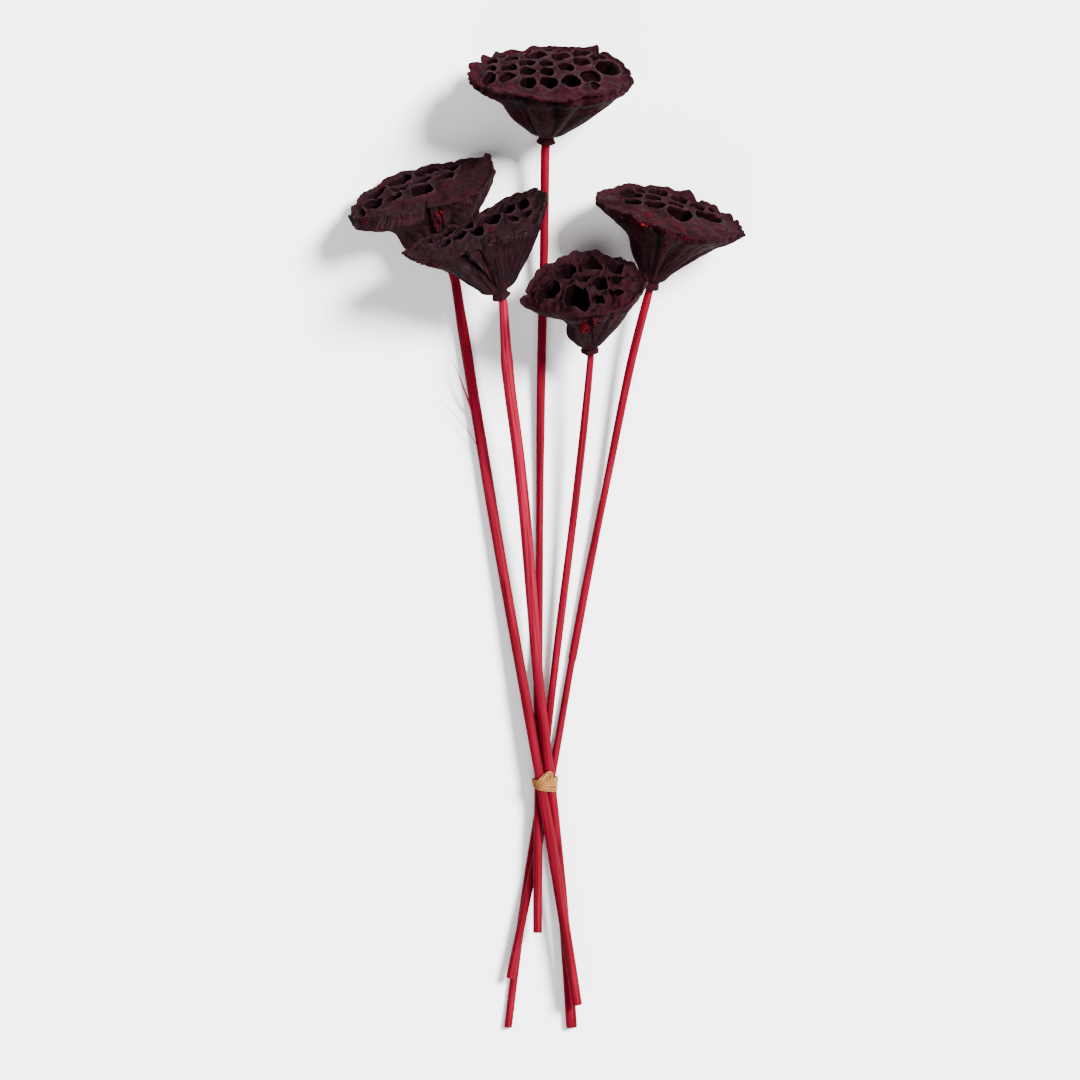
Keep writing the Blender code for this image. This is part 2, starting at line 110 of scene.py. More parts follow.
def spline(knots, values, at):
    """A natural cubic spline through (knot, value), as a row for each place in at. Each
    value is a number or a row of numbers."""
    knots = np.array(knots, float)
    values = np.array(values, float).reshape(len(knots), -1)
    gaps = np.diff(knots)
    # The bend at each knot balances the slopes on its two sides
    system, target = np.eye(len(knots)), np.zeros_like(values)
    for i in range(1, len(knots) - 1):
        system[i, i - 1:i + 2] = gaps[i - 1], 2 * (gaps[i - 1] + gaps[i]), gaps[i]
        target[i] = 6 * ((values[i + 1] - values[i]) / gaps[i] - (values[i] - values[i - 1]) / gaps[i - 1])
    bend = np.linalg.solve(system, target)
    span = np.clip(np.searchsorted(knots, at, side="right") - 1, 0, len(gaps) - 1)
    width = gaps[span][:, None]
    before, after = (knots[span + 1] - at)[:, None], (at - knots[span])[:, None]
    return (bend[span] * before**3 + bend[span + 1] * after**3) / (6 * width) \
        + (values[span] / width - bend[span] * width / 6) * before \
        + (values[span + 1] / width - bend[span + 1] * width / 6) * after


def pod_axes(place):
    """The pod's own directions: right, up from the surface, and out of its face."""
    heading, lift = math.radians(place[1]), math.radians(place[2])
    axis = np.array([math.sin(heading) * math.cos(lift), math.cos(heading) * math.cos(lift), math.sin(lift)])
    right = np.array([math.cos(heading), -math.sin(heading), 0.0])
    return right, np.cross(right, axis), axis


def stem_line(name):
    """The stem's middle line: a spline to below the collar, then straight into the socket."""
    place = POD_PLACES[name.replace("stem", "pod")]
    mouth, axis = np.array(place[0]), pod_axes(place)[2]
    points = np.array(STEMS[name][0] + (tuple(mouth - axis * NECKS[name]),))
    knots = np.concatenate(([0.0], np.cumsum(np.linalg.norm(np.diff(points, axis=0), axis=1))))
    length = knots[-1] + NECKS[name] + SOCKET_DEPTH - FIT_GAP
    at = np.concatenate(([0.0, 0.35], np.linspace(1.2, length, STEM_ROWS)))
    line = spline(knots, points, np.minimum(at, knots[-1]))
    return line + np.maximum(at - knots[-1], 0.0)[:, None] * axis, at


def ripples(places, wavelength, seed, count=22):
    """Smooth noise of about unit height: a sum of sine waves in seeded random directions."""
    dice = np.random.default_rng(seed)
    waves = dice.normal(size=(count, places.shape[-1]))
    lengths = np.linalg.norm(waves, axis=1)
    waves *= (2 * math.pi / wavelength * dice.uniform(0.65, 1.5, count) / lengths)[:, None]
    return np.sin(places @ waves.T + dice.uniform(0, 2 * math.pi, count)).sum(axis=-1) / math.sqrt(count / 2)


def ring_quads(rows, columns):
    """The corners of the cells of a grid whose rows go round: each point, the next one in
    its row and the two above them."""
    row, column = np.meshgrid(np.arange(rows - 1), np.arange(columns), indexing="ij")
    after = (column + 1) % columns
    return np.stack((row * columns + column, row * columns + after,
                     (row + 1) * columns + after, (row + 1) * columns + column), axis=-1).reshape(-1, 4)


def mesh_object(name, points, faces, places, channels, material):
    """A smooth mesh from points in millimetres and groups of faces, each group with its own
    number of sides, and the place of every corner on the UV map. Channels are numbers kept
    at the points for the material."""
    corners = np.concatenate([group.ravel() for group in faces])
    sides = np.concatenate([np.full(len(group), group.shape[1]) for group in faces])
    mesh = bpy.data.meshes.new(name)
    mesh.vertices.add(len(points))
    mesh.vertices.foreach_set("co", (points * MM).ravel())
    mesh.loops.add(len(corners))
    mesh.loops.foreach_set("vertex_index", corners)
    mesh.polygons.add(len(sides))
    mesh.polygons.foreach_set("loop_start", np.cumsum(sides) - sides)
    mesh.update(calc_edges=True)
    mesh.uv_layers.new(name="UVMap").data.foreach_set("uv", places.ravel())
    for label, values in channels.items():
        mesh.attributes.new(label, "FLOAT", "POINT").data.foreach_set("value", values.astype(np.float32))
    mesh.shade_smooth()
    mesh.materials.append(material)
    item = bpy.data.objects.new(name, mesh)
    bpy.context.scene.collection.objects.link(item)
    return item


def grid_object(name, grid, material, channels):
    """A closed skin over a grid of points whose rows go round: the first and the last row
    close on their middle points."""
    rows, columns = grid.shape[:2]
    points = np.concatenate((grid.reshape(-1, 3), grid[0].mean(axis=0)[None], grid[-1].mean(axis=0)[None]))
    turn, after = np.arange(columns), np.roll(np.arange(columns), -1)
    first, last = rows * columns, rows * columns + 1
    fans = np.concatenate((np.stack((after, turn, np.full(columns, first)), axis=1),
                           np.stack((turn, after, np.full(columns, last)), axis=1)
                           + np.array([(rows - 1) * columns, (rows - 1) * columns, 0])))
    row, column = np.meshgrid(np.arange(rows - 1), turn, indexing="ij")
    across = np.stack((column, column + 1, column + 1, column), axis=-1) / columns
    along = np.stack((row, row, row + 1, row + 1), axis=-1) / (rows - 1)
    tip = np.stack((turn + 1, turn, turn + 0.5), axis=1) / columns
    ends = np.concatenate((np.stack((tip, np.zeros_like(tip)), axis=-1),
                           np.stack((tip[:, [1, 0, 2]], np.ones_like(tip)), axis=-1)))
    places = np.concatenate((np.stack((across, along), axis=-1).reshape(-1, 2), ends.reshape(-1, 2)))
    channels = {label: np.concatenate((values.ravel(), [values[0].mean(), values[-1].mean()]))
                for label, values in channels.items()}
    item = mesh_object(name, points, (ring_quads(rows, columns), fans), places, channels, material)
    item.data.validate()
    return item


def tube_grid(line, radius, turns, start=0.0):
    """Rings carried along a line: radius has a row for each point and a column round it."""
    ahead = np.gradient(line, axis=0)
    ahead /= np.linalg.norm(ahead, axis=1)[:, None]
    side = np.cross(ahead, (0.0, 0.0, 1.0))
    side /= np.linalg.norm(side, axis=1)[:, None]
    over = np.cross(side, ahead)
    angles = start + 2 * math.pi * np.arange(turns) / turns
    return line[:, None] + radius[:, :, None] * (side[:, None] * np.cos(angles)[:, None]
                                                 + over[:, None] * np.sin(angles)[:, None])


def new_finish(name, roughness, gloss):
    """A new material, its nodes and its shader, with the roughness and specular level set."""
    material = bpy.data.materials.new(name)
    material.use_nodes = True
    shader = material.node_tree.nodes["Principled BSDF"]
    shader.inputs["Roughness"].default_value = roughness
    shader.inputs["Specular IOR Level"].default_value = gloss
    return material, material.node_tree, shader


def dyed_stalk():
    """Dried lotus stalk, dipped in crimson dye: a satin skin with fine lengthwise fibres, with
    painted shade in the furrows, and paler up the stem: rubbed-off dye with a painted sheen."""
    material, tree, shader = new_finish("dyed_stalk", 0.45, DRY_GLOSS)
    uv = add_node(tree, "TexCoord", result="UV")
    # Fibres 0.35 mm apart round a 16 mm girth, and patches 7 mm wide and 25 mm long
    fibre_map = add_node(tree, "Mapping", values={"Scale": (46, 9, 1)}, links={"Vector": uv})
    fibres = add_node(tree, "TexNoise", values={"Scale": 1.0, "Detail": 4.0}, links={"Vector": fibre_map})
    patch_map = add_node(tree, "Mapping", values={"Scale": (2.2, 16, 1)}, links={"Vector": uv})
    patches = add_node(tree, "TexNoise", values={"Scale": 1.0, "Detail": 3.0}, links={"Vector": patch_map})
    furrow_shade, pith, rubbed_and_sheen = (add_node(tree, "Attribute", {"attribute_name": label}, result="Fac")
                          for label in ("furrow_shade", "pith", "rubbed_and_sheen"))
    spread = add_node(tree, "MapRange", values={1: 0.35, 2: 0.68}, links={0: patches})
    streak = add_node(tree, "MapRange", values={1: 0.38, 2: 0.70}, links={0: fibres})
    skin = add_node(tree, "Mix", BLEND, {6: colour("#5c0415"), 7: colour("#6e0520")}, {0: spread}, 2)
    # Rubbed pink with painted sheen, lined by the fibres, painted shade in the furrows, and bare pith at the
    # cut end
    for tint, cover in (("#8c1230", rubbed_and_sheen), ("#48060e", streak), ("#33070b", furrow_shade), ("#644737", pith)):
        skin = add_node(tree, "Mix", BLEND, {7: colour(tint)}, {0: cover, 6: skin}, 2)
    tree.links.new(skin, shader.inputs["Base Color"])
    bump = add_node(tree, "Bump", values={"Strength": 0.35, "Distance": 0.0002}, links={"Height": fibres})
    tree.links.new(bump, shader.inputs["Normal"])
    return material


def ramp(values, low, high):
    """0 below low, 1 above high, and a soft step between."""
    share = np.clip((values - low) / (high - low), 0.0, 1.0)
    return share * share * (3 - 2 * share)


def closed_tube(line, radius, start):
    """A tube whose first end is closed by a flat disc with a small bevel."""
    skin = tube_grid(line, radius, radius.shape[1], start)
    disc = [line[0] + (skin[0] - line[0]) * share for share in (0.05, 0.45, 0.80)]
    skin[0] = line[0] + (skin[0] - line[0]) * 0.93
    return np.concatenate((disc, skin))


stalk = dyed_stalk()
for number, stem_name in enumerate(STEMS):
    line, at = stem_line(stem_name)
    girth = np.array(STEMS[stem_name][1])
    base = np.interp(line[:, 1], girth[:, 0], girth[:, 1])
    angles = -math.pi / 2 + 2 * math.pi * np.arange(STEM_COLUMNS) / STEM_COLUMNS
    round_way = np.stack(np.broadcast_arrays(np.cos(angles)[None] * 6, np.sin(angles)[None] * 6,
                                             at[:, None] * 0.035), axis=-1)
    furrows = np.clip(1 - np.abs(ripples(round_way, 5.5, 71 + number)) * 1.9, 0, 1)
    lumps = ripples(round_way * np.array([0.4, 0.4, 2.2]), 6.0, 83 + number)
    radius = base[:, None] * (1 - FURROW_DEPTH * furrows + LUMP_HEIGHT * lumps)
    skin = closed_tube(line, radius, -math.pi / 2)
    pith = np.zeros(skin.shape[:2])
    pith[:4] = np.array([1.0, 1.0, 0.8, 0.3])[:, None]
    # Painted shade in the furrows, and a paler upper part: rubbed dye and painted sheen
    furrows = np.concatenate((np.zeros((3, STEM_COLUMNS)), furrows))
    rubbed_and_sheen = np.full(skin.shape[:2], RUBBED_AND_SHEEN[stem_name]) * ramp(skin[..., 1], -120.0, 20.0)
    stem = grid_object(stem_name + "_stalk", skin, stalk,
                       {"furrow_shade": furrows * 0.8, "pith": pith, "rubbed_and_sheen": rubbed_and_sheen})
    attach(stem, "root")
    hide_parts(stem_name)

# Two slivers of skin have come loose from stem_2 and stand off its left side: a stiff
# splinter and a fibre as fine as a hair. Each grows out of the stem, thinning to its tip.

SLIVERS = {
    "splinter": (((-39.6, 66.5, 6.0), (-41.9, 73.0, 8.0), (-44.7, 80.5, 8.6), (-48.3, 90.0, 8.0)), 0.65),
    "fibre": (((-33.2, 41.0, 6.5), (-40.0, 53.0, 6.0), (-48.0, 63.0, 5.0), (-57.6, 73.0, 3.5)), 0.24),
}
SLIVER_ROWS = 40
SLIVER_COLUMNS = 10
for sliver_name, (points, thickness) in SLIVERS.items():
    line = spline(np.arange(len(points)), points, np.linspace(0.0, len(points) - 1, SLIVER_ROWS))
    taper = thickness * np.linspace(1.0, 0.25, SLIVER_ROWS)[:, None] * np.ones(SLIVER_COLUMNS)
    sliver = grid_object(sliver_name, tube_grid(line, taper, SLIVER_COLUMNS), stalk, {})
    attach(sliver, "root")
    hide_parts("stem_2")

# Each pod is the dried seed head of a lotus, a spongy funnel that grew in one piece and
# was dyed a burgundy that is nearly black. Its wall is puckered into folds, its rim has
# torn, and its flat face is pitted with empty seed cells, each with a thin raised lip.

COLLAR_RADIUS = 4.7
COLLAR_WAIST = 4.0       # radius of the waist above the collar
WALL_START = 4.2         # height of the waist
FACE_DROP = 0.7          # of the face's edge below the rim
FACE_DOME = 2.6          # rise of the face's middle
WALL_SHARES = (0.0, 0.04, 0.12, 0.26, 0.42, 0.58, 0.72, 0.84, 0.94, 1.0)
TUCK = (0.57, 0.19)      # share of the wall's height and reach, as ROLL's
ROLL = (0.86, 0.08)
POD_COLUMNS = 480
CELL_COLUMNS = 56
CELL_TURNS = 2 * math.pi * np.arange(CELL_COLUMNS) / CELL_COLUMNS
BORE_ROOM = 0.1          # for the lumps of the stem in its socket
PARTITION = 0.45         # half the thickness of the wall between two cells
RIM_WIDTH = 0.8          # what stays of the face between a cell and the rim
FACE_STEP = 0.95         # spacing of the points on the face between the cells
LOWEST = 0.1             # height above the surface that nothing sinks below

# Angles run in degrees from the pod's right over its upper side. Given every 30 degrees
# are the rim's radius and rise, how far the wall is tucked in half way up and rolls out
# under the rim, and how far the rim overhangs it. Flare is how far the wall has opened at
# each of WALL_SHARES. Folds are (angle, depth, width), and creases begin at one angle at
# the rim and end at the next one at the collar. Tears of the rim are (angle, depth, width),
# knobs where the depth is negative, and points (angle, lift, width). Cells are (right, up,
# half widths, depth). Worn scars and fresh tears are (angle, share of height, size), and
# scars of the face (right, up, size). Ash is how grey the husk is, ragged, crumple and
# pleats say how strong each of these is, and lips how strong the painted highlight on the
# cells' lips is.
PODS = {
    "pod_1": dict(
        height=39.5, ash=0.14,
        rim=(42, 42, 43, 44, 43, 42.5, 41.5, 40, 39, 40.5, 42.5, 42),
        rise=(-1, 0.5, 1, 0, -0.5, -3, -1.5, -0.5, -0.6, 0.6, 2.2, 1.4),
        flare=(0, 0.10, 0.21, 0.38, 0.55, 0.71, 0.83, 0.93, 0.985, 1),
        tuck=(1, 0, 0, 0, 1.5, 3.5, 3.5, 1, 0, 0, 0, 0),
        roll=(0.5, 1, 1.5, 1.5, 2, 3, 2.5, 0.5, 0, 0, 0, 0),
        brim=(0, 0.3, 1.6, 2.4, 2.2, 1.6, 1, 0.5, 0, 0, 0, 0),
        folds=((62, 1.8, 9), (118, 2.2, 8), (200, 2, 10), (340, 1.6, 9)),
        creases=((86, 74, 4.6, 4.6), (99, 97, 1.2, 2.4), (108, 122, 4.8, 5), (124, 132, 1.4, 3),
                 (66, 66, 0.5, 2.5), (150, 150, 1.2, 3)),
        tears=((196, 2.6, 4), (178, 1.6, 2.6), (163, 2.6, 3.4), (300, -3, 3.2), (308, 1.8, 2.2),
               (148, 1.2, 2), (78, 1.4, 2), (104, 1.2, 2.2)),
        cells=((-31.8, -8.3, 3.5, 5.9, 6), (-22, -13.9, 4.1, 5.7, 8), (-9.3, -21.5, 5.9, 8, 11),
               (4.1, -22.5, 5.2, 8.2, 11), (5.9, -34, 4.2, 4.4, 8), (-4.2, -33.6, 3.8, 4.2, 7),
               (15, -30.5, 4.6, 5.9, 9), (-15.5, -30.4, 3.9, 4.4, 7), (23.8, -25.5, 5, 6.1, 8),
               (29.2, -11.2, 6.8, 12.2, 11), (15.6, -15, 4.6, 8, 10), (-13.2, -6.9, 4.5, 6.4, 9),
               (-22.3, 2, 4.5, 5.9, 9), (-3, -7.2, 4, 6.2, 9), (7.4, -3.6, 4.6, 6.8, 10),
               (-12.3, 7.4, 4.5, 5.7, 9), (-2.3, 7.2, 4, 5.5, 9), (20.4, 7.6, 5.8, 9.8, 5),
               (-32, 14.5, 3.7, 6.4, 5), (-22.3, 16, 4.8, 5.9, 6), (-11.4, 24.6, 4.6, 7.5, 10),
               (-0.6, 22.4, 4.8, 7.5, 10), (10.8, 18.2, 5.2, 8.7, 11), (-32.3, 3.2, 3.5, 4.1, 6),
               (-27.2, -21, 2.9, 4.1, 6), (23.5, 22, 2.7, 4.6, 3)),
        scars=((72, 0.97, 5), (82, 0.98, 6), (96, 0.98, 5), (108, 0.97, 6), (120, 0.98, 4), (57, 0.97, 4),
               (150, 0.96, 8), (165, 0.97, 6), (185, 0.97, 5), (205, 0.97, 4), (40, 0.6, 5)),
        face_scars=((-18.7, 24.8, 1.4), (14, 27, 3), (-6, 32, 4), (6, 32, 4), (20, 29, 3), (-20, 27, 4),
                    (27, 12, 3), (-2, 0, 4), (20, -4, 5), (-10, 15, 4)),
        fresh=(), points=(), ragged=0.9, crumple=1, pleats=0.25, lips=0.9, seed=11),
    "pod_2": dict(
        height=45, ash=0.62,
        rim=(36, 32, 24, 21, 27, 37, 44, 40, 34, 32.5, 34, 36),
        rise=(3.6, 0.5, -1.5, -1, 0, 1, -2, -0.6, 0.5, 0, -0.4, 2),
        flare=(0, 0.12, 0.24, 0.40, 0.56, 0.71, 0.82, 0.91, 0.97, 1),
        tuck=(4, 2, 0, 0, 4, 9, 8, 3, 0, 0, 0, 2),
        roll=(0, 0, 0, 0, 5, 8, 3, 0, 0, 0, 0, 0),
        brim=(0, 0.4, 0.8, 0.9, 0.5, 0.4, 0.3, 0, 0, 0, 0, 0),
        folds=((70, 3.2, 9), (112, 2.6, 7), (215, 1.8, 10), (30, 1.6, 8)),
        creases=((100, 116, 4.2, 4.6), (84, 84, 1.2, 4), (60, 60, 0.8, 3), (42, 42, 0.6, 2.6)),
        tears=((183, 2, 2.4), (172, 1.4, 2), (105, 3, 5), (300, 1, 2),
               (262, 0.8, 2), (140, 1, 3)),
        cells=((-30.7, -2, 6.2, 6.6, 8), (-19.8, 0.2, 5.4, 5.6, 8), (-27.6, -14.8, 6.2, 6.2, 8),
               (-14.6, -21, 7.2, 6.6, 9), (-4, 1.6, 5.8, 8.4, 9), (1, -23.4, 6.6, 6, 9),
               (-3, -9.6, 5.7, 4.5, 8), (13.2, -20.4, 5, 5.2, 8), (9.6, -6.6, 5, 5.2, 9),
               (-15, -9.6, 5.2, 5, 8), (-37.6, 3.6, 2.3, 4, 4)),
        scars=((96, 0.75, 4), (100, 0.66, 4), (134, 0.80, 3.5), (142, 0.92, 3), (126, 0.72, 2.5),
               (155, 0.97, 3), (110, 0.45, 3)),
        face_scars=((8, 5, 4), (-2, 10, 3), (14, 2, 3), (-10, 12, 3)),
        fresh=((86, 0.86, 3), (90, 0.74, 2.4)),
        points=((346, 3.4, 6),), ragged=0.7, crumple=1.5, pleats=0.18, lips=0.8, seed=23),
    "pod_3": dict(
        height=40.5, ash=0.8,
        rim=(40, 34, 23, 20.5, 24, 33, 38, 31, 20.5, 17.5, 22, 33),
        rise=(5, -0.5, 0.5, 0, -0.5, 1.5, 2, 0, -1, 0, 1, 4),
        flare=(0, 0.12, 0.22, 0.36, 0.52, 0.67, 0.80, 0.90, 0.97, 1),
        tuck=(0, 0, 0, 0, 0, 1, 1, 0, 0, 0, 0, 0),
        roll=(0, 0.5, 1, 1, 1, 1, 0.5, 0, 0, 0, 0, 0),
        brim=(0, 0.8, 1.4, 1.6, 1.2, 0.4, 0, 0, 0, 0, 0, 0),
        folds=((95, 3, 8), (38, 2.4, 9), (182, 6, 26), (255, 2, 9)),
        creases=((124, 97, 4.2, 4.4), (98, 98, 1.4, 2.4), (122, 122, 1.2, 2.4), (84, 84, 1, 2.4),
                 (70, 70, 0.9, 2.4), (58, 58, 1, 2.4), (136, 136, 1, 3), (30, 30, 0.9, 2.6)),
        tears=((92, 2.4, 4), (66, -1.6, 4), (176, -2.4, 2.2), (0, -1, 4), (12, 1.4, 2.4),
               (116, 1.6, 3), (350, 0.9, 2)),
        cells=((-16.8, -6.4, 5.6, 5.2, 7), (-4.8, -6.4, 5.2, 5.2, 8), (9.2, -1.6, 5.6, 6.5, 9),
               (19.6, -5.6, 4.1, 5.8, 8), (-9, 3.6, 4.1, 4.8, 7), (0.2, 5, 3.9, 5.5, 7),
               (-26.4, -2.4, 3.7, 4, 5), (27.6, -3, 3.5, 5.8, 6), (2.6, -12, 3.7, 3, 5),
               (-17.2, 4.8, 3.5, 3.5, 5), (20, 6.2, 3.2, 4.2, 4), (28, 7.4, 2.8, 3.8, 4)),
        scars=((150, 0.9, 4), (163, 0.85, 5), (72, 0.97, 4), (96, 0.5, 3)),
        face_scars=((4, 1, 3), (-14, 9, 3), (8, 8, 3)),
        fresh=(), points=(), ragged=0.9, crumple=1.3, pleats=0.45, lips=0.7, seed=37),
    "pod_4": dict(
        height=41, ash=0.42,
        rim=(32, 31.5, 30, 29.5, 29.5, 30.5, 32.5, 31, 29.5, 29.5, 30, 31),
        rise=(0, 1, -1, 0.5, 0, -3, -7, -2, 0.5, 1.5, 0, -0.5),
        flare=(0, 0.09, 0.18, 0.33, 0.48, 0.63, 0.76, 0.88, 0.96, 1),
        tuck=(0, 0, 0, 0, 2, 7, 6, 1, 0, 0, 0, 0),
        roll=(0, 0.5, 1, 1, 0.6, 0.5, 0.5, 0, 0, 0, 0, 0),
        brim=(0.2, 0.6, 0.8, 0.6, 0.5, 0.5, 0.4, 0.2, 0, 0, 0, 0),
        folds=((80, 2.2, 9), (125, 1.8, 9), (190, 4.5, 24), (310, 1.6, 9)),
        creases=((88, 84, 2.6, 4), (66, 66, 1.6, 3), (54, 54, 1, 2.6), (104, 104, 1, 3),
                 (132, 132, 1.2, 3), (42, 42, 0.9, 2.6)),
        tears=((180, -2.6, 4.5), (190, 2, 3), (168, 1.4, 3), (262, -1.4, 6), (240, 1.2, 3),
               (60, 1.4, 3), (28, 1.2, 2.4)),
        cells=((-5.2, 13.8, 7.6, 11.4, 15), (-19.4, 2, 6.6, 7.6, 11), (-9.4, -13.2, 6.8, 7.1, 10),
               (4.6, -16.6, 5.9, 6.7, 10), (16.8, -13, 4.5, 5.8, 9), (17.6, -0.6, 5.1, 4.6, 9),
               (7.8, 2.6, 4.9, 6, 8), (16.2, 11.6, 4.5, 5.3, 7), (-1.2, -3.6, 5.1, 4.4, 8),
               (5.6, 16.6, 3.6, 4.4, 6), (-18.6, -7, 3.2, 3.4, 5)),
        scars=((90, 0.60, 5), (97, 0.72, 3.5), (86, 0.80, 3), (92, 0.48, 3.5), (120, 0.62, 2),
               (60, 0.9, 4), (74, 0.95, 3)),
        face_scars=((-11, 6, 2), (9.5, -8.6, 1.6), (0, 22, 2)),
        fresh=((90, 0.70, 7), (93, 0.56, 5.5), (88, 0.84, 5), (118, 0.60, 2.6)),
        points=((284, 2, 9), (304, -1, 4)), ragged=0.45, crumple=2.4, pleats=0.3, lips=0.2, seed=41),
    "pod_5": dict(
        height=42.5, ash=0.3,
        rim=(39.5, 38, 36.5, 35, 36, 36.5, 39.5, 35.8, 36, 36.5, 37.5, 39),
        rise=(-0.5, 1, -0.5, 0, 0.5, -1, -1, 1, 1.6, 3, 2, 0.4),
        flare=(0, 0.06, 0.12, 0.24, 0.41, 0.59, 0.75, 0.87, 0.965, 1),
        tuck=(0, 0, 0, 0, 2, 7, 6, 1, 0, 0, 0, 0),
        roll=(2, 2, 1.5, 1, 1, 1, 0, 0, 0, 0, 0, 0),
        brim=(0.5, 0.5, 0.5, 0.6, 0.6, 0.4, 0, 0, 0, 0, 0, 0),
        folds=((75, 2, 8), (110, 1.6, 8), (160, 1.8, 9), (250, 1.8, 10), (352, 3.5, 20)),
        creases=((98, 92, 2, 3.6), (60, 60, 0.9, 3), (48, 48, 0.6, 2.6), (72, 72, 0.6, 2.6),
                 (36, 36, 0.5, 2.6), (24, 24, 0.6, 2.6), (112, 112, 1.4, 3.2), (130, 130, 1.2, 3.2)),
        tears=((10, -1.6, 6), (351, 1.2, 3.4), (100, 1.6, 3.4), (80, 1.4, 3)),
        cells=((-8.6, -0.8, 5.8, 7.9, 10), (4.9, 4.2, 7.4, 11.8, 11), (20.6, -7, 7.1, 9.7, 8),
               (-22.4, -11, 6.2, 7.2, 8), (-20.4, 2, 4.8, 6.1, 7), (-8.6, -26.6, 5.4, 6.1, 8),
               (3.4, -23.4, 4.8, 7.2, 8), (13.2, -20.6, 4.6, 6.1, 8), (-10.6, -13.4, 4.6, 5.9, 8),
               (2, -11.2, 4.6, 5.1, 8), (23.4, -22, 3.7, 5.6, 6),
               (-18, -23.4, 3.1, 4.1, 5)),
        scars=((118, 0.95, 6), (106, 0.96, 6), (94, 0.96, 4), (70, 0.94, 5), (60, 0.92, 4), (84, 0.72, 3),
               (86, 0.60, 2.5), (132, 0.95, 4), (20, 0.98, 5)),
        face_scars=((-9, 22, 8), (-16, 17, 7), (-2, 20, 5), (-24, 15, 5), (8, 24, 6), (19, 18, 5),
                    (10, 14, 3), (26, 4, 4)),
        fresh=((122, 0.93, 1.8), (108, 0.95, 2.2), (97, 0.94, 1.6), (70, 0.93, 2.2), (60, 0.92, 1.6),
               (86, 0.78, 1.4)),
        points=((279, 1.2, 8), (291, -1.6, 2.6), (314, -1.4, 3), (330, -1.8, 4)),
        ragged=0.7, crumple=1, pleats=0.45, lips=0.35, seed=53),
}


def around(values, angles):
    """Values given every 30 degrees, read at any angle with a smooth periodic curve."""
    terms = np.fft.rfft(np.array(values, float))
    total = np.full(angles.shape, terms[0].real)
    for order in range(1, len(terms)):
        weight = 2.0 if order < len(values) / 2 else 1.0
        wave = terms[order].real * np.cos(order * angles) - terms[order].imag * np.sin(order * angles)
        total += weight * wave
    return total / len(values)


def bell(values, middle, reach):
    """1 at the middle, falling off over the reach."""
    return np.exp(-((values - middle) / reach)**2)


def turned(angles, centre):
    """Degrees between each angle and a centre."""
    return np.degrees((angles - math.radians(centre) + math.pi) % (2 * math.pi) - math.pi)


def dips(angles, marks):
    """The sum of the bells of all marks, each an (angle, height, width in degrees)."""
    return sum(height * bell(turned(angles, angle), 0, width) for angle, height, width in marks)


def smoothed(ring, window):
    """A ring of values, each averaged with its neighbours by the window's weights."""
    reach = len(window) // 2
    padded = np.concatenate((ring[-reach:], ring, ring[:reach]))
    return np.convolve(padded, window / window.sum(), mode="valid")


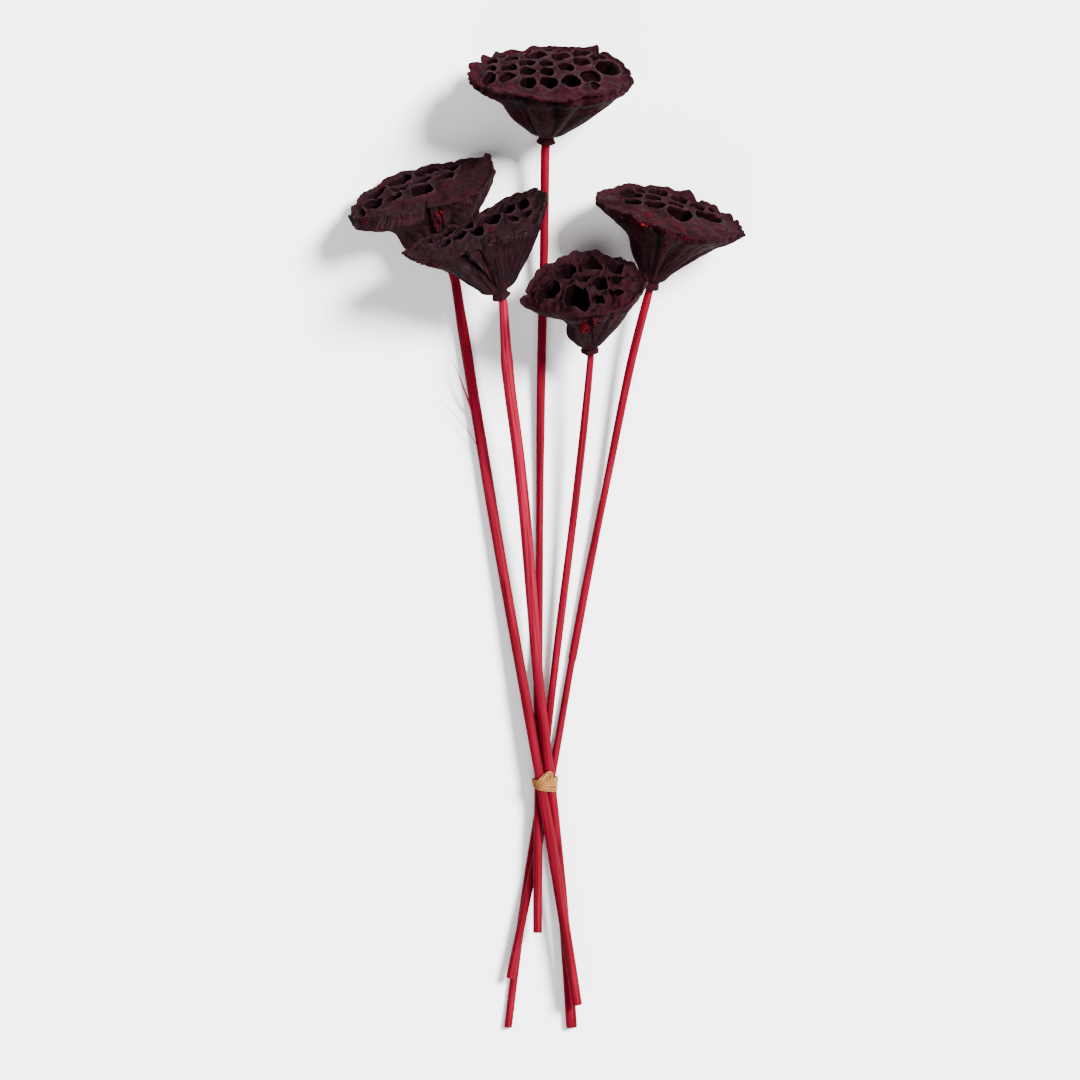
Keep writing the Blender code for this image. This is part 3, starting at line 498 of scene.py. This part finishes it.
def pod_wall(pod, angles, stem_radius):
    """Rows of (radius, height), and the share of the wall's height of each: out over the
    collar, then radius = waist + (rim - waist) * flare, less folds and tuck, plus roll,
    brim, pleats that fan up from the collar and lumps that grow towards the rim."""
    seed = pod["seed"]
    tears = dips(angles, pod["tears"])
    rim = around(pod["rim"], angles)
    rise = around(pod["rise"], angles) - 0.35 * tears + dips(angles, pod["points"])
    # The collar: the socket, its mouth, a bead round it and the waist
    bore = stem_radius + FIT_GAP
    lobes = 0.35 * np.cos(5 * angles + seed) + 0.25 * np.cos(9 * angles + 2 * seed)
    collar = ((bore, SOCKET_DEPTH, 0), (bore, 3.0, 0), (bore, 0.2, 0), (bore + 0.3, 0.0, 0.2),
              (COLLAR_RADIUS - 0.6, -0.1, 0.8), (COLLAR_RADIUS - 0.1, 0.2, 1.0),
              (COLLAR_RADIUS + 0.1, 0.8, 1.0), (COLLAR_RADIUS - 0.2, 1.5, 0.7),
              (COLLAR_WAIST + 0.2, 2.3, 0.4), (COLLAR_WAIST, 3.3, 0.1))
    rows = np.array([np.stack((radius + lobes * share, height + 0.5 * lobes * share), axis=-1)
                     for radius, height, share in collar])
    # The wall's main form, its rows closer together near the rim
    shares = np.concatenate((np.linspace(0.0, 0.86, 44), np.linspace(0.87, 1.0, 20)))[:, None]
    flare = spline(WALL_SHARES, pod["flare"], shares[:, 0])
    swell = np.sin(math.pi * shares)
    height = WALL_START + (pod["height"] - WALL_START) * shares + rise * shares**2
    radius = COLLAR_WAIST + (rim - COLLAR_WAIST) * flare
    for angle, depth, width in pod["folds"]:
        radius = radius - depth * swell * bell(turned(angles, angle), 0, width)
    ribs = 0.5 * np.cos(11 * angles + seed) + 0.4 * np.cos(17 * angles + 2 * seed)
    radius = radius + swell * ribs
    radius = radius + around(pod["roll"], angles) * bell(shares, *ROLL)
    radius = radius - around(pod["tuck"], angles) * bell(shares, *TUCK)
    skin = np.stack((radius * np.cos(angles), radius * np.sin(angles), height), axis=-1)
    # Creases are sharp valleys, with painted shade inside and a little beyond
    groove = ramp(shares, 0.02, 0.3) * (1 - ramp(shares, 0.93, 0.99)) * (0.45 + 0.55 * shares)
    shade = np.zeros_like(radius)
    for top_angle, low_angle, depth, width in pod["creases"]:
        bend = (top_angle - low_angle) * (1 - shares) + 1.6 * np.sin(5 * shares + top_angle)
        valley = groove * np.exp(-np.abs(turned(angles, top_angle) + bend) / width)
        radius = radius - depth * valley
        hollow = groove * np.exp(-(turned(angles, top_angle) + bend)**2 / (1.5 * width)**2)
        shade = np.maximum(shade, np.maximum(valley, 0.4 * hollow) * min(1.0, depth / 3.0))
    # Relief: pleats, veins and lumps on the wall, and the torn edge of the rim
    strands = np.stack(np.broadcast_arrays(np.cos(angles) * 30, np.sin(angles) * 30, shares * 9), axis=-1)
    pleats = np.abs(ripples(strands, 7.5, seed + 5)) * ramp(shares, 0.05, 0.35)
    pleats = pleats * (1 - 0.6 * ramp(shares, 0.8, 0.95))
    veins = ripples(strands * np.array([1, 1, 0.6]), 1.9, seed + 6) * ramp(shares, 0.08, 0.3)
    lumps = ripples(skin, 6.0, seed + 7) * ramp(shares, 0.1, 0.9)
    edge = ramp(shares, 0.80, 0.99)
    ragged = ripples(skin, 15.0, seed + 12) * 0.9 + ripples(skin, 8.0, seed + 8) * 0.5 \
        + ripples(skin, 3.6, seed + 9) * 0.28
    radius = radius + 0.6 * pod["pleats"] - pod["pleats"] * pleats + 0.07 * veins + 0.22 * lumps
    radius = radius + around(pod["brim"], angles) * ramp(shares, 0.93, 0.985)
    radius = radius + edge * (0.75 * pod["ragged"] * ragged - tears)
    height = height + edge * (0.5 * ripples(skin, 11.0, seed + 10) + 0.14 * ripples(skin, 3.4, seed + 11))
    rows = np.concatenate((rows, np.stack((radius, height), axis=-1)))
    share_rows = np.concatenate((np.full(len(collar), -1.0), shares[:, 0]))
    # From the rim the skin turns over a rounded lip, (inward, up), to the face's edge
    lip = ((0.2, 0.4), (0.55, 0.6), (0.95, 0.5), (1.35, 0.15), (1.75, -0.3), (2.15, -FACE_DROP))
    top = rows[-1]
    over_rows = [np.stack((top[:, 0] - inward, top[:, 1] + over), axis=-1) for inward, over in lip]
    shade = np.pad(ramp(shade, 0.08, 0.5), ((len(collar), len(lip)), (0, 0)))
    return np.concatenate((rows, over_rows)), np.concatenate((share_rows, np.ones(len(lip)))), shade


def cell_share(x, y, cell, opening=None):
    """How far points lie from a cell's middle, as a share of its ellipse or of its opening."""
    right, up = (x - cell[0]) / cell[2], (y - cell[1]) / cell[3]
    share = np.hypot(right, up)
    if opening is None:
        return share
    return share / np.interp(np.arctan2(up, right), CELL_TURNS, opening, period=2 * math.pi)


def read_round(x, y, rim_angles, values):
    """Values given at the rim's angles, read in the direction of each point."""
    return np.interp(np.arctan2(y, x) % (2 * math.pi), rim_angles, values, period=2 * math.pi)


def cell_openings(cells, rim_angles, rim_reach, crumple, dice):
    """For each cell, the share of its ellipse that stays open in each direction. It stops
    where a neighbour is as near, or the rim, less half a partition, so that crowded cells
    press each other into rounded polygons with thin partitions."""
    steps = np.linspace(0.2, 1.08, 89)
    openings = []
    for cell in cells:
        x = cell[0] + cell[2] * steps[:, None] * np.cos(CELL_TURNS)
        y = cell[1] + cell[3] * steps[:, None] * np.sin(CELL_TURNS)
        blocked = np.hypot(x, y) > read_round(x, y, rim_angles, rim_reach) - RIM_WIDTH
        for other in cells:
            if other is not cell:
                size = (min(cell[2:4]) + min(other[2:4])) / 2
                blocked |= (cell_share(x, y, other) - cell_share(x, y, cell)) * size < 2 * PARTITION
        first = np.where(blocked.any(axis=0), blocked.argmax(axis=0), len(steps) - 1)
        dents = 0.055 + 0.03 * np.cos(2 * CELL_TURNS + dice.uniform(0, 6.3)) \
            + 0.025 * np.cos(3 * CELL_TURNS + dice.uniform(0, 6.3))
        openings.append(smoothed(steps[first] * (1.055 - crumple * dents), np.hanning(7)))
    return openings


def pod_face(pod, edge):
    """The face as points, triangles, painted shade that deepens into each cell and painted
    highlight on the lips: a low dome over scattered points, open at the cells, and a sleeve
    that runs down into each cell from its lip. Height = dome + net of lips + hollows between
    them + small wrinkles."""
    seed, cells, crumple = pod["seed"], pod["cells"], pod["crumple"]
    # How far the rim reaches in each direction, and the openings of the cells within it
    dice = np.random.default_rng(seed + 3)
    level = pod["height"] - FACE_DROP
    rim_angles = np.arctan2(edge[:, 1], edge[:, 0]) % (2 * math.pi)
    order = np.argsort(rim_angles)
    rim_angles, rim_reach = rim_angles[order], np.hypot(edge[:, 0], edge[:, 1])[order]
    openings = cell_openings(cells, rim_angles, rim_reach, crumple, dice)
    loops = [np.stack((cell[0] + cell[2] * opening * np.cos(CELL_TURNS),
                       cell[1] + cell[3] * opening * np.sin(CELL_TURNS)), axis=-1)
             for cell, opening in zip(cells, openings)]

    # Points on a grid of triangles, shaken a little, clear of the rim and of the cells
    side = math.ceil(rim_reach.max() / FACE_STEP)
    column, row = np.meshgrid(np.arange(-side, side + 1), np.arange(-side, side + 1))
    x = ((column + row % 2 / 2) * FACE_STEP).ravel() + dice.uniform(-0.2, 0.2, column.size)
    y = (row * FACE_STEP * 0.87).ravel() + dice.uniform(-0.2, 0.2, column.size)
    keep = np.hypot(x, y) < read_round(x, y, rim_angles, rim_reach) - 0.5
    for cell, opening in zip(cells, openings):
        keep &= (cell_share(x, y, cell, opening) - 1.0) * min(cell[2:4]) > 0.35
    flat = np.concatenate([edge[:, :2]] + loops + [np.stack((x[keep], y[keep]), axis=-1)])
    sizes = [len(edge)] + [CELL_COLUMNS] * len(loops)
    starts = np.cumsum([0] + sizes)
    owners = np.concatenate([np.full(size, number) for number, size in enumerate(sizes)]
                            + [np.full(keep.sum(), -1)])
    borders = [(int(start + k), int(start + (k + 1) % size))
               for start, size in zip(starts, sizes) for k in range(size)]
    # Triangles whose corners or middle lie in one cell are left out
    result = delaunay_2d_cdt([Vector(place) for place in flat], borders, [], 1, 1e-5)
    corners = np.array([source[0] if source else 0 for source in result[3]])[np.array(result[2])]
    own = owners[corners]
    open_cell = (own[:, 0] > 0) & (own[:, 0] == own[:, 1]) & (own[:, 1] == own[:, 2])
    middle = flat[corners].mean(axis=1)
    for cell, opening in zip(cells, openings):
        open_cell |= cell_share(middle[:, 0], middle[:, 1], cell, opening) < 0.97

    # The height of each point, by how near it is to the rim and to the lip of a cell
    x, y = flat[:, 0], flat[:, 1]
    lip = np.zeros_like(x)
    for cell, opening in zip(cells, openings):
        away = (cell_share(x, y, cell, opening) - 1.0) * min(cell[2:4]) * opening.mean()
        lip = np.maximum(lip, np.exp(-(np.maximum(away, 0) / 0.6)**2))
    wrinkle = crumple * (0.38 * ripples(flat, 13.0, seed + 20) + 0.15 * ripples(flat, 5.0, seed + 21))
    fine = crumple * (0.18 * np.abs(ripples(flat, 3.4, seed + 22)) + 0.06 * ripples(flat, 1.7, seed + 23))
    reach = np.clip(np.hypot(x, y) / read_round(x, y, rim_angles, rim_reach), 0, 1)
    rim_z = read_round(x, y, rim_angles, edge[order, 2])
    z = level + (rim_z - level) * reach**3 + FACE_DOME * (1 - reach**2)
    z = z + (1 - ramp(reach, 0.93, 1.0)) * (wrinkle + 0.85 * lip - 0.45 - fine * (1 - lip))
    z[:len(edge)] = edge[:, 2]

    points, painted_shades = [np.column_stack((flat, z))], [np.zeros(len(flat))]
    lip_highlights, faces = [np.where(owners == 0, 0, lip)], [corners[~open_cell]]
    total = len(flat)
    heart = np.array([0.0, 0.0, pod["height"] * 0.1])
    turn, after = np.arange(CELL_COLUMNS), np.roll(np.arange(CELL_COLUMNS), -1)
    # Each ring's share of the opening, its depth and how dark its painted shade is: first the
    # lip, in millimetres, then the cell, in shares of its depth
    sleeve = ((0.965, -0.05, 0.0), (0.94, 0.12, 0.25), (0.925, 0.5, 0.6), (0.92, 1.1, 0.8), (0.92, 2.2, 0.9),
              (0.93, 0.30, 0.95), (0.91, 0.50, 1.0), (0.84, 0.72, 1.0), (0.72, 0.88, 1.0), (0.52, 0.97, 1.0),
              (0.28, 1.0, 1.0))
    for start, cell in zip(starts[1:], cells):
        ring = points[0][start:start + CELL_COLUMNS]
        middle = ring.mean(axis=0)
        inward = heart - middle
        inward /= np.linalg.norm(inward)
        # Deeper cells get a darker painted shade
        cell_shade = min(0.95, 0.45 + cell[4] / 18)
        before = start + turn
        for step, (share, sink, painted_shade) in enumerate(sleeve):
            depth = min(sink, cell[4] * 0.9) if step < 5 else max(cell[4] * sink, sleeve[4][1] * 0.9)
            spots = middle + (ring - middle) * share + inward * depth
            spots = spots + 0.12 * ripples(spots, 2.6, seed + 40)[:, None] * (painted_shade > 0.2)
            points.append(spots)
            painted_shades.append(np.full(CELL_COLUMNS, painted_shade * cell_shade))
            lip_highlights.append(np.full(CELL_COLUMNS, max(0.0, 1 - 2.2 * painted_shade)))
            now = total + turn
            faces.append(np.stack((before, before[after], now[after]), axis=1))
            faces.append(np.stack((before, now[after], now), axis=1))
            before = now
            total += CELL_COLUMNS
        points.append(spots.mean(axis=0)[None])
        painted_shades.append(np.array([cell_shade]))
        lip_highlights.append(np.zeros(1))
        faces.append(np.stack((before, before[after], np.full(CELL_COLUMNS, total)), axis=1))
        total += 1
    return np.concatenate(points), np.concatenate(faces), np.concatenate(painted_shades), np.concatenate(lip_highlights)


def spots_near(points, centres):
    """1 within each spot, falling off past its size."""
    near = np.zeros(len(points))
    for centre, size in centres:
        near = np.maximum(near, 1 - ramp(np.linalg.norm(points - centre, axis=1) / size, 0.45, 1.25))
    return near


def wall_spots(outside, shares, angles, marks):
    """The wall's point nearest to each mark's (angle, share of height), with its size."""
    return [(outside[np.abs(shares - share).argmin(), np.abs(turned(angles, angle)).argmin()], size)
            for angle, share, size in marks]


def dyed_husk():
    """Dried pod husk, dipped in burgundy dye: dull and leathery, with painted shade near black
    in the cells and the wall's creases, a greyer painted highlight on the cells' lips, and
    crimson where the skin has torn and shows fresh fibre."""
    material, tree, shader = new_finish("dyed_husk", 0.66, DRY_GLOSS)
    spot = add_node(tree, "TexCoord", result="Object")
    uv = add_node(tree, "TexCoord", result="UV")
    # Blotches about 8 mm wide, grain 1.2 mm, and streaks 1 mm wide up the wall
    blotches = add_node(tree, "TexNoise", values={"Scale": 120.0, "Detail": 5.0, "Roughness": 0.65},
                        links={"Vector": spot})
    grain = add_node(tree, "TexNoise", values={"Scale": 800.0, "Detail": 3.0}, links={"Vector": spot})
    streak_map = add_node(tree, "Mapping", values={"Scale": (190, 5, 1)}, links={"Vector": uv})
    streaks = add_node(tree, "TexNoise", values={"Scale": 1.0, "Detail": 4.0}, links={"Vector": streak_map})
    torn, lip_highlight, painted_shade, ash = (add_node(tree, "Attribute", {"attribute_name": label}, result="Fac")
                             for label in ("torn", "lip_highlight", "painted_shade", "ash"))
    mottle = add_node(tree, "MapRange", values={1: 0.36, 2: 0.66}, links={0: blotches})
    dusty = add_node(tree, "MapRange", values={1: 0.45, 2: 0.75}, links={0: streaks})
    wine = add_node(tree, "Mix", BLEND, {6: colour("#140508"), 7: colour("#260910")}, {0: mottle}, 2)
    grey = add_node(tree, "Mix", BLEND, {6: colour("#130a0c"), 7: colour("#2a1c1f")}, {0: dusty}, 2)
    ground = add_node(tree, "Mix", BLEND, {}, {0: ash, 6: wine, 7: grey}, 2)
    # Painted highlight, greyer, on the raised lips of the cells
    lip_lit = add_node(tree, "Mix", BLEND, {7: colour("#2b1b20")}, {0: lip_highlight, 6: ground}, 2)
    # Torn spots show flecked fibre in patches, and all over where they are fresh
    speck = add_node(tree, "MapRange", values={1: 0.35, 2: 0.6}, links={0: blotches})
    raw = add_node(tree, "MapRange", values={1: 1.0, 2: 1.5}, links={0: torn})
    patch = add_node(tree, "Math", {"operation": "MAXIMUM"}, links={0: speck, 1: raw})
    shown = add_node(tree, "Math", {"operation": "MULTIPLY", "use_clamp": True}, links={0: torn, 1: patch})
    fleck = add_node(tree, "MapRange", values={1: 0.50, 2: 0.66, 4: 0.45}, links={0: grain})
    fibre = add_node(tree, "Mix", BLEND, {6: colour("#28080d"), 7: colour("#4a0d14")}, {0: fleck}, 2)
    flesh = add_node(tree, "Mix", BLEND, {7: colour("#520a12")}, {0: raw, 6: fibre}, 2)
    fresh = add_node(tree, "Mix", BLEND, {}, {0: shown, 6: lip_lit, 7: flesh}, 2)
    # Painted shade: near black in the cells and in the wall's creases
    with_shade = add_node(tree, "Mix", BLEND, {7: colour("#070203")}, {0: painted_shade, 6: fresh}, 2)
    tree.links.new(with_shade, shader.inputs["Base Color"])
    relief = add_node(tree, "Math", {"operation": "ADD"}, links={0: grain, 1: streaks})
    bump = add_node(tree, "Bump", values={"Strength": 0.45, "Distance": 0.0004}, links={"Height": relief})
    tree.links.new(bump, shader.inputs["Normal"])
    return material


husk = dyed_husk()
for pod_name, pod in PODS.items():
    seed = pod["seed"]
    angles = 2 * math.pi * np.arange(POD_COLUMNS) / POD_COLUMNS - math.pi / 2
    stem_radius = STEMS[pod_name.replace("pod", "stem")][1][-1][1] + BORE_ROOM
    rows, shares, shade = pod_wall(pod, angles, stem_radius)
    outside = np.stack((rows[..., 0] * np.cos(angles), rows[..., 0] * np.sin(angles), rows[..., 1]), axis=-1)
    inside, face_triangles, face_painted_shades, face_lip_highlights = pod_face(pod, outside[-1])
    # The face's own edge points are the wall's last row
    count = shade.size
    bottom = count + len(inside) - POD_COLUMNS
    turn = np.arange(POD_COLUMNS)
    cap = np.stack((np.roll(turn, -1), turn, np.full(POD_COLUMNS, bottom)), axis=1)
    quads = ring_quads(len(rows), POD_COLUMNS)
    triangles = np.concatenate((quads[:, [0, 1, 2]], quads[:, [0, 2, 3]],
                                face_triangles + count - POD_COLUMNS, cap))[:, ::-1]
    skin = np.concatenate((outside.reshape(-1, 3), inside[POD_COLUMNS:], outside[0].mean(axis=0)[None]))
    # Painted shade: the wall's creases, then the depths of the cells
    painted_shades = np.concatenate((shade.ravel() * 0.85, face_painted_shades[POD_COLUMNS:], [0.0]))
    lip_highlights = np.concatenate((np.zeros(count), face_lip_highlights[POD_COLUMNS:], [0.0]))
    flat = np.repeat(shares, POD_COLUMNS)
    rest = np.zeros(len(skin) - count)

    # Worn scars, and the rim and the collar, show fibre where the skin is uneven
    spots = wall_spots(outside, shares, angles, pod["scars"])
    spots += [(inside[np.hypot(inside[:, 0] - x, inside[:, 1] - y).argmin()], size)
              for x, y, size in pod["face_scars"]]
    uneven = ripples(skin, 5.0, seed + 30) + 0.8 * ripples(skin, 2.4, seed + 31)
    rim_tint = np.concatenate((ramp(flat, 0.88, 1.0), rest))
    torn = np.clip(spots_near(skin, spots) * ramp(uneven, -0.9, 1.2)
                   + 0.2 * rim_tint * ramp(uneven, 0.6, 2.0), 0, 1)
    collar_tint = np.concatenate((np.where(flat < 0, 0.8, 0.0), rest))
    torn = np.maximum(torn, collar_tint * ramp(uneven, -2.0, 0.5))
    fresh = spots_near(skin, wall_spots(outside, shares, angles, pod["fresh"])) * ramp(uneven, -1.8, 0.2)
    torn = np.maximum(torn, 1.6 * fresh)
    # Torn places are crumpled: the wall in and out, the face up and down
    crumple = 0.6 * np.maximum(torn, fresh * 1.5) * ripples(skin, 2.6, seed + 50)
    reach_out = np.hypot(skin[:, 0], skin[:, 1])
    on_wall = (np.arange(len(skin)) < count) & (reach_out > 8)
    skin[on_wall, :2] *= 1 + (crumple / np.maximum(reach_out, 1.0))[on_wall, None]
    skin[count:, 2] += crumple[count:] * (painted_shades[count:] < 0.05) * (reach_out[count:] > 0.1)
    ash = np.clip(pod["ash"] + 0.14 * ripples(skin, 16.0, seed + 33), 0, 1)
    # The painted highlight on the lips, in patches, as strong as the pod's lips
    lip_highlights = pod["lips"] * lip_highlights * (0.5 + 0.5 * ramp(ripples(skin, 9.0, seed + 34), -1.2, 0.8))

    # Into place on the surface, with the map's seam joined at the pod's left
    right, up, axis = pod_axes(POD_PLACES[pod_name])
    world_skin = np.array(POD_PLACES[pod_name][0]) \
        + skin[:, :1] * right + skin[:, 1:2] * up + skin[:, 2:] * axis
    world_skin[:, 2] = np.maximum(world_skin[:, 2], LOWEST)
    across = (np.arctan2(skin[:, 1], skin[:, 0]) / (2 * math.pi))[triangles]
    across = np.where(across - across[:, :1] > 0.5, across - 1,
                      np.where(across - across[:, :1] < -0.5, across + 1, across))
    along = np.concatenate((np.clip(flat, 0, 1), rest + 1))[triangles]
    item = mesh_object(pod_name + "_husk", world_skin, [triangles], np.stack((across, along), axis=-1),
                       {"torn": torn, "lip_highlight": lip_highlights * 0.8, "painted_shade": painted_shades, "ash": ash}, husk)
    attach(item, "root")
    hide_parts(pod_name)

# The tie is a strip of natural raffia, wound flat round the five stems and tucked under
# itself on the upper side. It is pulled tight, so it follows the outline of the bundle.

TIE_Y = -131.2
TIE_GAP = 0.4
RAFFIA_THICKNESS = 0.3
RAFFIA_PLEATS = ((0.13, 5.5), (0.09, 9.5), (0.05, 17.0))      # height, and radians to the edge
TIE_AROUND = 160
STRIP_COLUMNS = 21
FOLD_ROWS = 70

tie_angles = -math.pi / 2 + 2 * math.pi * np.arange(TIE_AROUND) / TIE_AROUND
tie_facing = np.stack((np.cos(tie_angles), np.sin(tie_angles)), axis=1)
tie_stems = []
for stem_name in STEMS:
    line = stem_line(stem_name)[0]
    spot = [np.interp(TIE_Y, line[:, 1], line[:, axis]) for axis in (0, 2)]
    tie_stems.append((np.array(spot), np.interp(TIE_Y, *np.array(STEMS[stem_name][1]).T)))
tie_heart = np.mean([spot for spot, _ in tie_stems], axis=0)


def bundle_reach():
    """How far a tight band lies from the bundle's heart at each angle: the hull of the stems."""
    reach = np.max([tie_facing @ (spot - tie_heart) + radius + TIE_GAP
                    for spot, radius in tie_stems], axis=0)
    apart = np.cos(tie_angles[:, None] - tie_angles[None, :])
    hull = np.where(apart > 0.2, reach[None, :] / np.maximum(apart, 0.2), np.inf).min(axis=1)
    return smoothed(hull, np.hanning(15))


def raffia():
    """Natural raffia, split palm leaf: straw coloured and satin, with fibres along the
    strip, and painted shade in the creases and along its edges."""
    material, tree, shader = new_finish("raffia", 0.5, DRY_GLOSS)
    uv = add_node(tree, "TexCoord", result="UV")
    # Streaks about 1 mm wide and 4 mm long, with finer fibres in them
    fibre_map = add_node(tree, "Mapping", values={"Scale": (5, 12, 1)}, links={"Vector": uv})
    fibres = add_node(tree, "TexNoise", values={"Scale": 1.0, "Detail": 5.0}, links={"Vector": fibre_map})
    crease_shade = add_node(tree, "Attribute", {"attribute_name": "crease_shade"}, result="Fac")
    spread = add_node(tree, "MapRange", values={1: 0.34, 2: 0.66}, links={0: fibres})
    ground = add_node(tree, "Mix", BLEND, {6: colour("#64401f"), 7: colour("#996a3e")}, {0: spread}, 2)
    # Painted shade, brown, in the creases
    crease_shaded = add_node(tree, "Mix", BLEND, {7: colour("#3a2009")}, {0: crease_shade, 6: ground}, 2)
    tree.links.new(crease_shaded, shader.inputs["Base Color"])
    bump = add_node(tree, "Bump", values={"Strength": 0.6, "Distance": 0.0003}, links={"Height": fibres})
    tree.links.new(bump, shader.inputs["Normal"])
    return material


def strip_object(name, middle, across, outward, closed):
    """A flat strip, pleated along its length, from its middle line, the half width that
    points across it and the direction away from the stems. Closed strips join end to end."""
    count = len(middle)
    share = np.linspace(-1.0, 1.0, STRIP_COLUMNS)
    along = np.arange(count)[:, None] / count
    dice = np.random.default_rng(len(name) * 7)
    phase, twist = dice.uniform(0, 6.3, 3), dice.integers(1, 4, 3)
    pleat = sum(height * np.cos(share[None] * waves + 2 * math.pi * turns * along + start)
                for (height, waves), turns, start in zip(RAFFIA_PLEATS, twist, phase))
    edge = 1 + 0.05 * np.cos(2 * math.pi * along * twist[0] * 3 + phase[0])
    faces = []
    for side, order in ((RAFFIA_THICKNESS / 2, share), (-RAFFIA_THICKNESS / 2, share[::-1])):
        lift = (pleat if side > 0 else pleat[:, ::-1]) + side * (1 - order[None]**8)
        faces.append(middle[:, None] + across[:, None] * (order[None] * edge)[..., None]
                     + outward[:, None] * lift[..., None])
    skin = np.concatenate(faces, axis=1)
    skin[..., 2] = np.maximum(skin[..., 2], LOWEST)
    # Painted shade in the pleats' valleys and along the strip's edges
    crease_shade = np.maximum(ramp(-pleat, 0.03, 0.16), 0.9 * ramp(np.abs(share), 0.80, 1.0)[None])
    crease_shade = np.concatenate((crease_shade, crease_shade[:, ::-1]), axis=1)
    if closed:
        skin, crease_shade = (np.concatenate((grid, grid[:1])) for grid in (skin, crease_shade))
    item = grid_object(name, skin, straw, {"crease_shade": crease_shade})
    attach(item, "root")
    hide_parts("tie")


straw = raffia()
reach = bundle_reach()
# For each winding: its middle from TIE_Y and half its width on the left, in the middle and
# on the right of the upper side, then how far it lies off the stems and how it leans
WINDINGS = {
    "raffia_hem": ((-0.4, -2.9, -3.2), (0.8, 0.9, 1.1), 0.16, 0.25),
    "raffia_second": ((0.6, -1.7, -1.6), (0.8, 0.9, 1.1), 0.38, 0.30),
    "raffia_third": ((1.6, -0.3, 0.2), (0.8, 1.0, 1.2), 0.60, 0.32),
    "raffia_upper": ((2.5, 0.9, 3.0), (0.7, 0.8, 1.4), 0.80, 0.30),
}
for winding_name, (middles, halves, off, lean) in WINDINGS.items():
    side = np.cos(tie_angles)
    y, half = (smoothed(np.interp(side, (-1, 0.1, 1), values), np.ones(13)) for values in (middles, halves))
    out = np.column_stack((tie_facing[:, 0], np.zeros(TIE_AROUND), tie_facing[:, 1]))
    middle = np.column_stack((tie_heart[0] + (reach + off) * tie_facing[:, 0], TIE_Y + y,
                              tie_heart[1] + (reach + off) * tie_facing[:, 1]))
    across = np.column_stack((np.zeros(TIE_AROUND), half, np.zeros(TIE_AROUND))) - out * lean
    strip_object(winding_name, middle, across, out, True)

# The end of the strip is folded: it rises from under the windings at the left, turns over
# at the upper right and is tucked back under them, which leaves a small window beside it.
# Each fold has points (right, forward, height over the stems) and half its width.

FOLDS = {
    "raffia_fold": (((-5.6, 0.2, 0.6), (-3.9, 1.7, 1.2), (-2.0, 3.3, 1.7), (-0.3, 4.8, 2.1),
                     (1.2, 5.7, 2.2), (2.4, 5.4, 1.7), (2.3, 4.0, 1.0), (1.6, 2.4, 0.3)), 1.3),
    "raffia_fold_inner": (((-3.6, -0.4, 1.0), (-2.2, 0.8, 1.5), (-1.0, 2.0, 1.8), (0.0, 3.1, 2.0),
                           (0.9, 3.3, 1.8), (1.2, 2.2, 1.0), (0.9, 0.8, 0.4)), 0.8),
}
for fold_name, (points, half) in FOLDS.items():
    line = spline(np.arange(len(points)), points, np.linspace(0, len(points) - 1, FOLD_ROWS))
    angle = np.arccos(np.clip((line[:, 0] - tie_heart[0]) / (reach.max() + 1), -0.95, 0.95))
    top = np.interp(angle, tie_angles, reach)
    height = tie_heart[1] + np.sqrt(np.maximum(top**2 - (line[:, 0] - tie_heart[0])**2, 4.0))
    middle = np.column_stack((line[:, 0], TIE_Y + line[:, 1], height + line[:, 2]))
    ahead = np.gradient(middle, axis=0)
    ahead /= np.linalg.norm(ahead, axis=1)[:, None]
    across = np.cross(ahead, (0.0, 0.0, 1.0))
    across /= np.linalg.norm(across, axis=1)[:, None]
    strip_object(fold_name, middle, across * half, np.cross(across, ahead), False)

# The surface is a plain white sheet, and the light is a large soft lamp from the upper
# right, with a weak one from the lower left, as over a table in a studio.

floor_mesh = bpy.data.meshes.new("floor")
floor_mesh.from_pydata([(-3, -3, 0), (3, -3, 0), (3, 3, 0), (-3, 3, 0)], [], [(0, 1, 2, 3)])
floor = bpy.data.objects.new("floor", floor_mesh)
bpy.context.scene.collection.objects.link(floor)
paper, _, paper_shader = new_finish("white_paper", 0.9, 0.5)
paper_shader.inputs["Base Color"].default_value = colour("#faf8f9")
floor_mesh.materials.append(paper)

world = bpy.data.worlds.new("studio")
world.use_nodes = True
sky = world.node_tree.nodes["Background"]
sky.inputs["Color"].default_value = colour("#f4f2f4")
sky.inputs["Strength"].default_value = 0.3
bpy.context.scene.world = world


def add_sun(name, towards, strength, spread):
    """A distant lamp that shines towards the given direction, with a soft edge in degrees."""
    lamp = bpy.data.lights.new(name, "SUN")
    lamp.energy = strength
    lamp.angle = math.radians(spread)
    item = bpy.data.objects.new(name, lamp)
    bpy.context.scene.collection.objects.link(item)
    down = np.array(towards) / np.linalg.norm(towards)
    item.rotation_euler = (math.acos(-down[2]), 0.0, math.atan2(-down[0], down[1]))


add_sun("key", (-0.68, -0.40, -1.0), 17.6, 18)
add_sun("fill", (0.12, 0.62, -1.0), 3.2, 50)

# The camera looks straight down on the bunch, a little left of the middle.

CAMERA_HEIGHT = 2.4
FRAME_WIDTH = 0.5724     # what the picture's width covers on the surface
CAMERA_SPOT = (-0.0034, -0.0024)

camera_data = bpy.data.cameras.new("camera")
camera_data.sensor_width = 36.0
camera_data.lens = 36.0 * CAMERA_HEIGHT / FRAME_WIDTH
camera = bpy.data.objects.new("camera", camera_data)
camera.location = (*CAMERA_SPOT, CAMERA_HEIGHT)
bpy.context.scene.collection.objects.link(camera)
bpy.context.scene.camera = camera
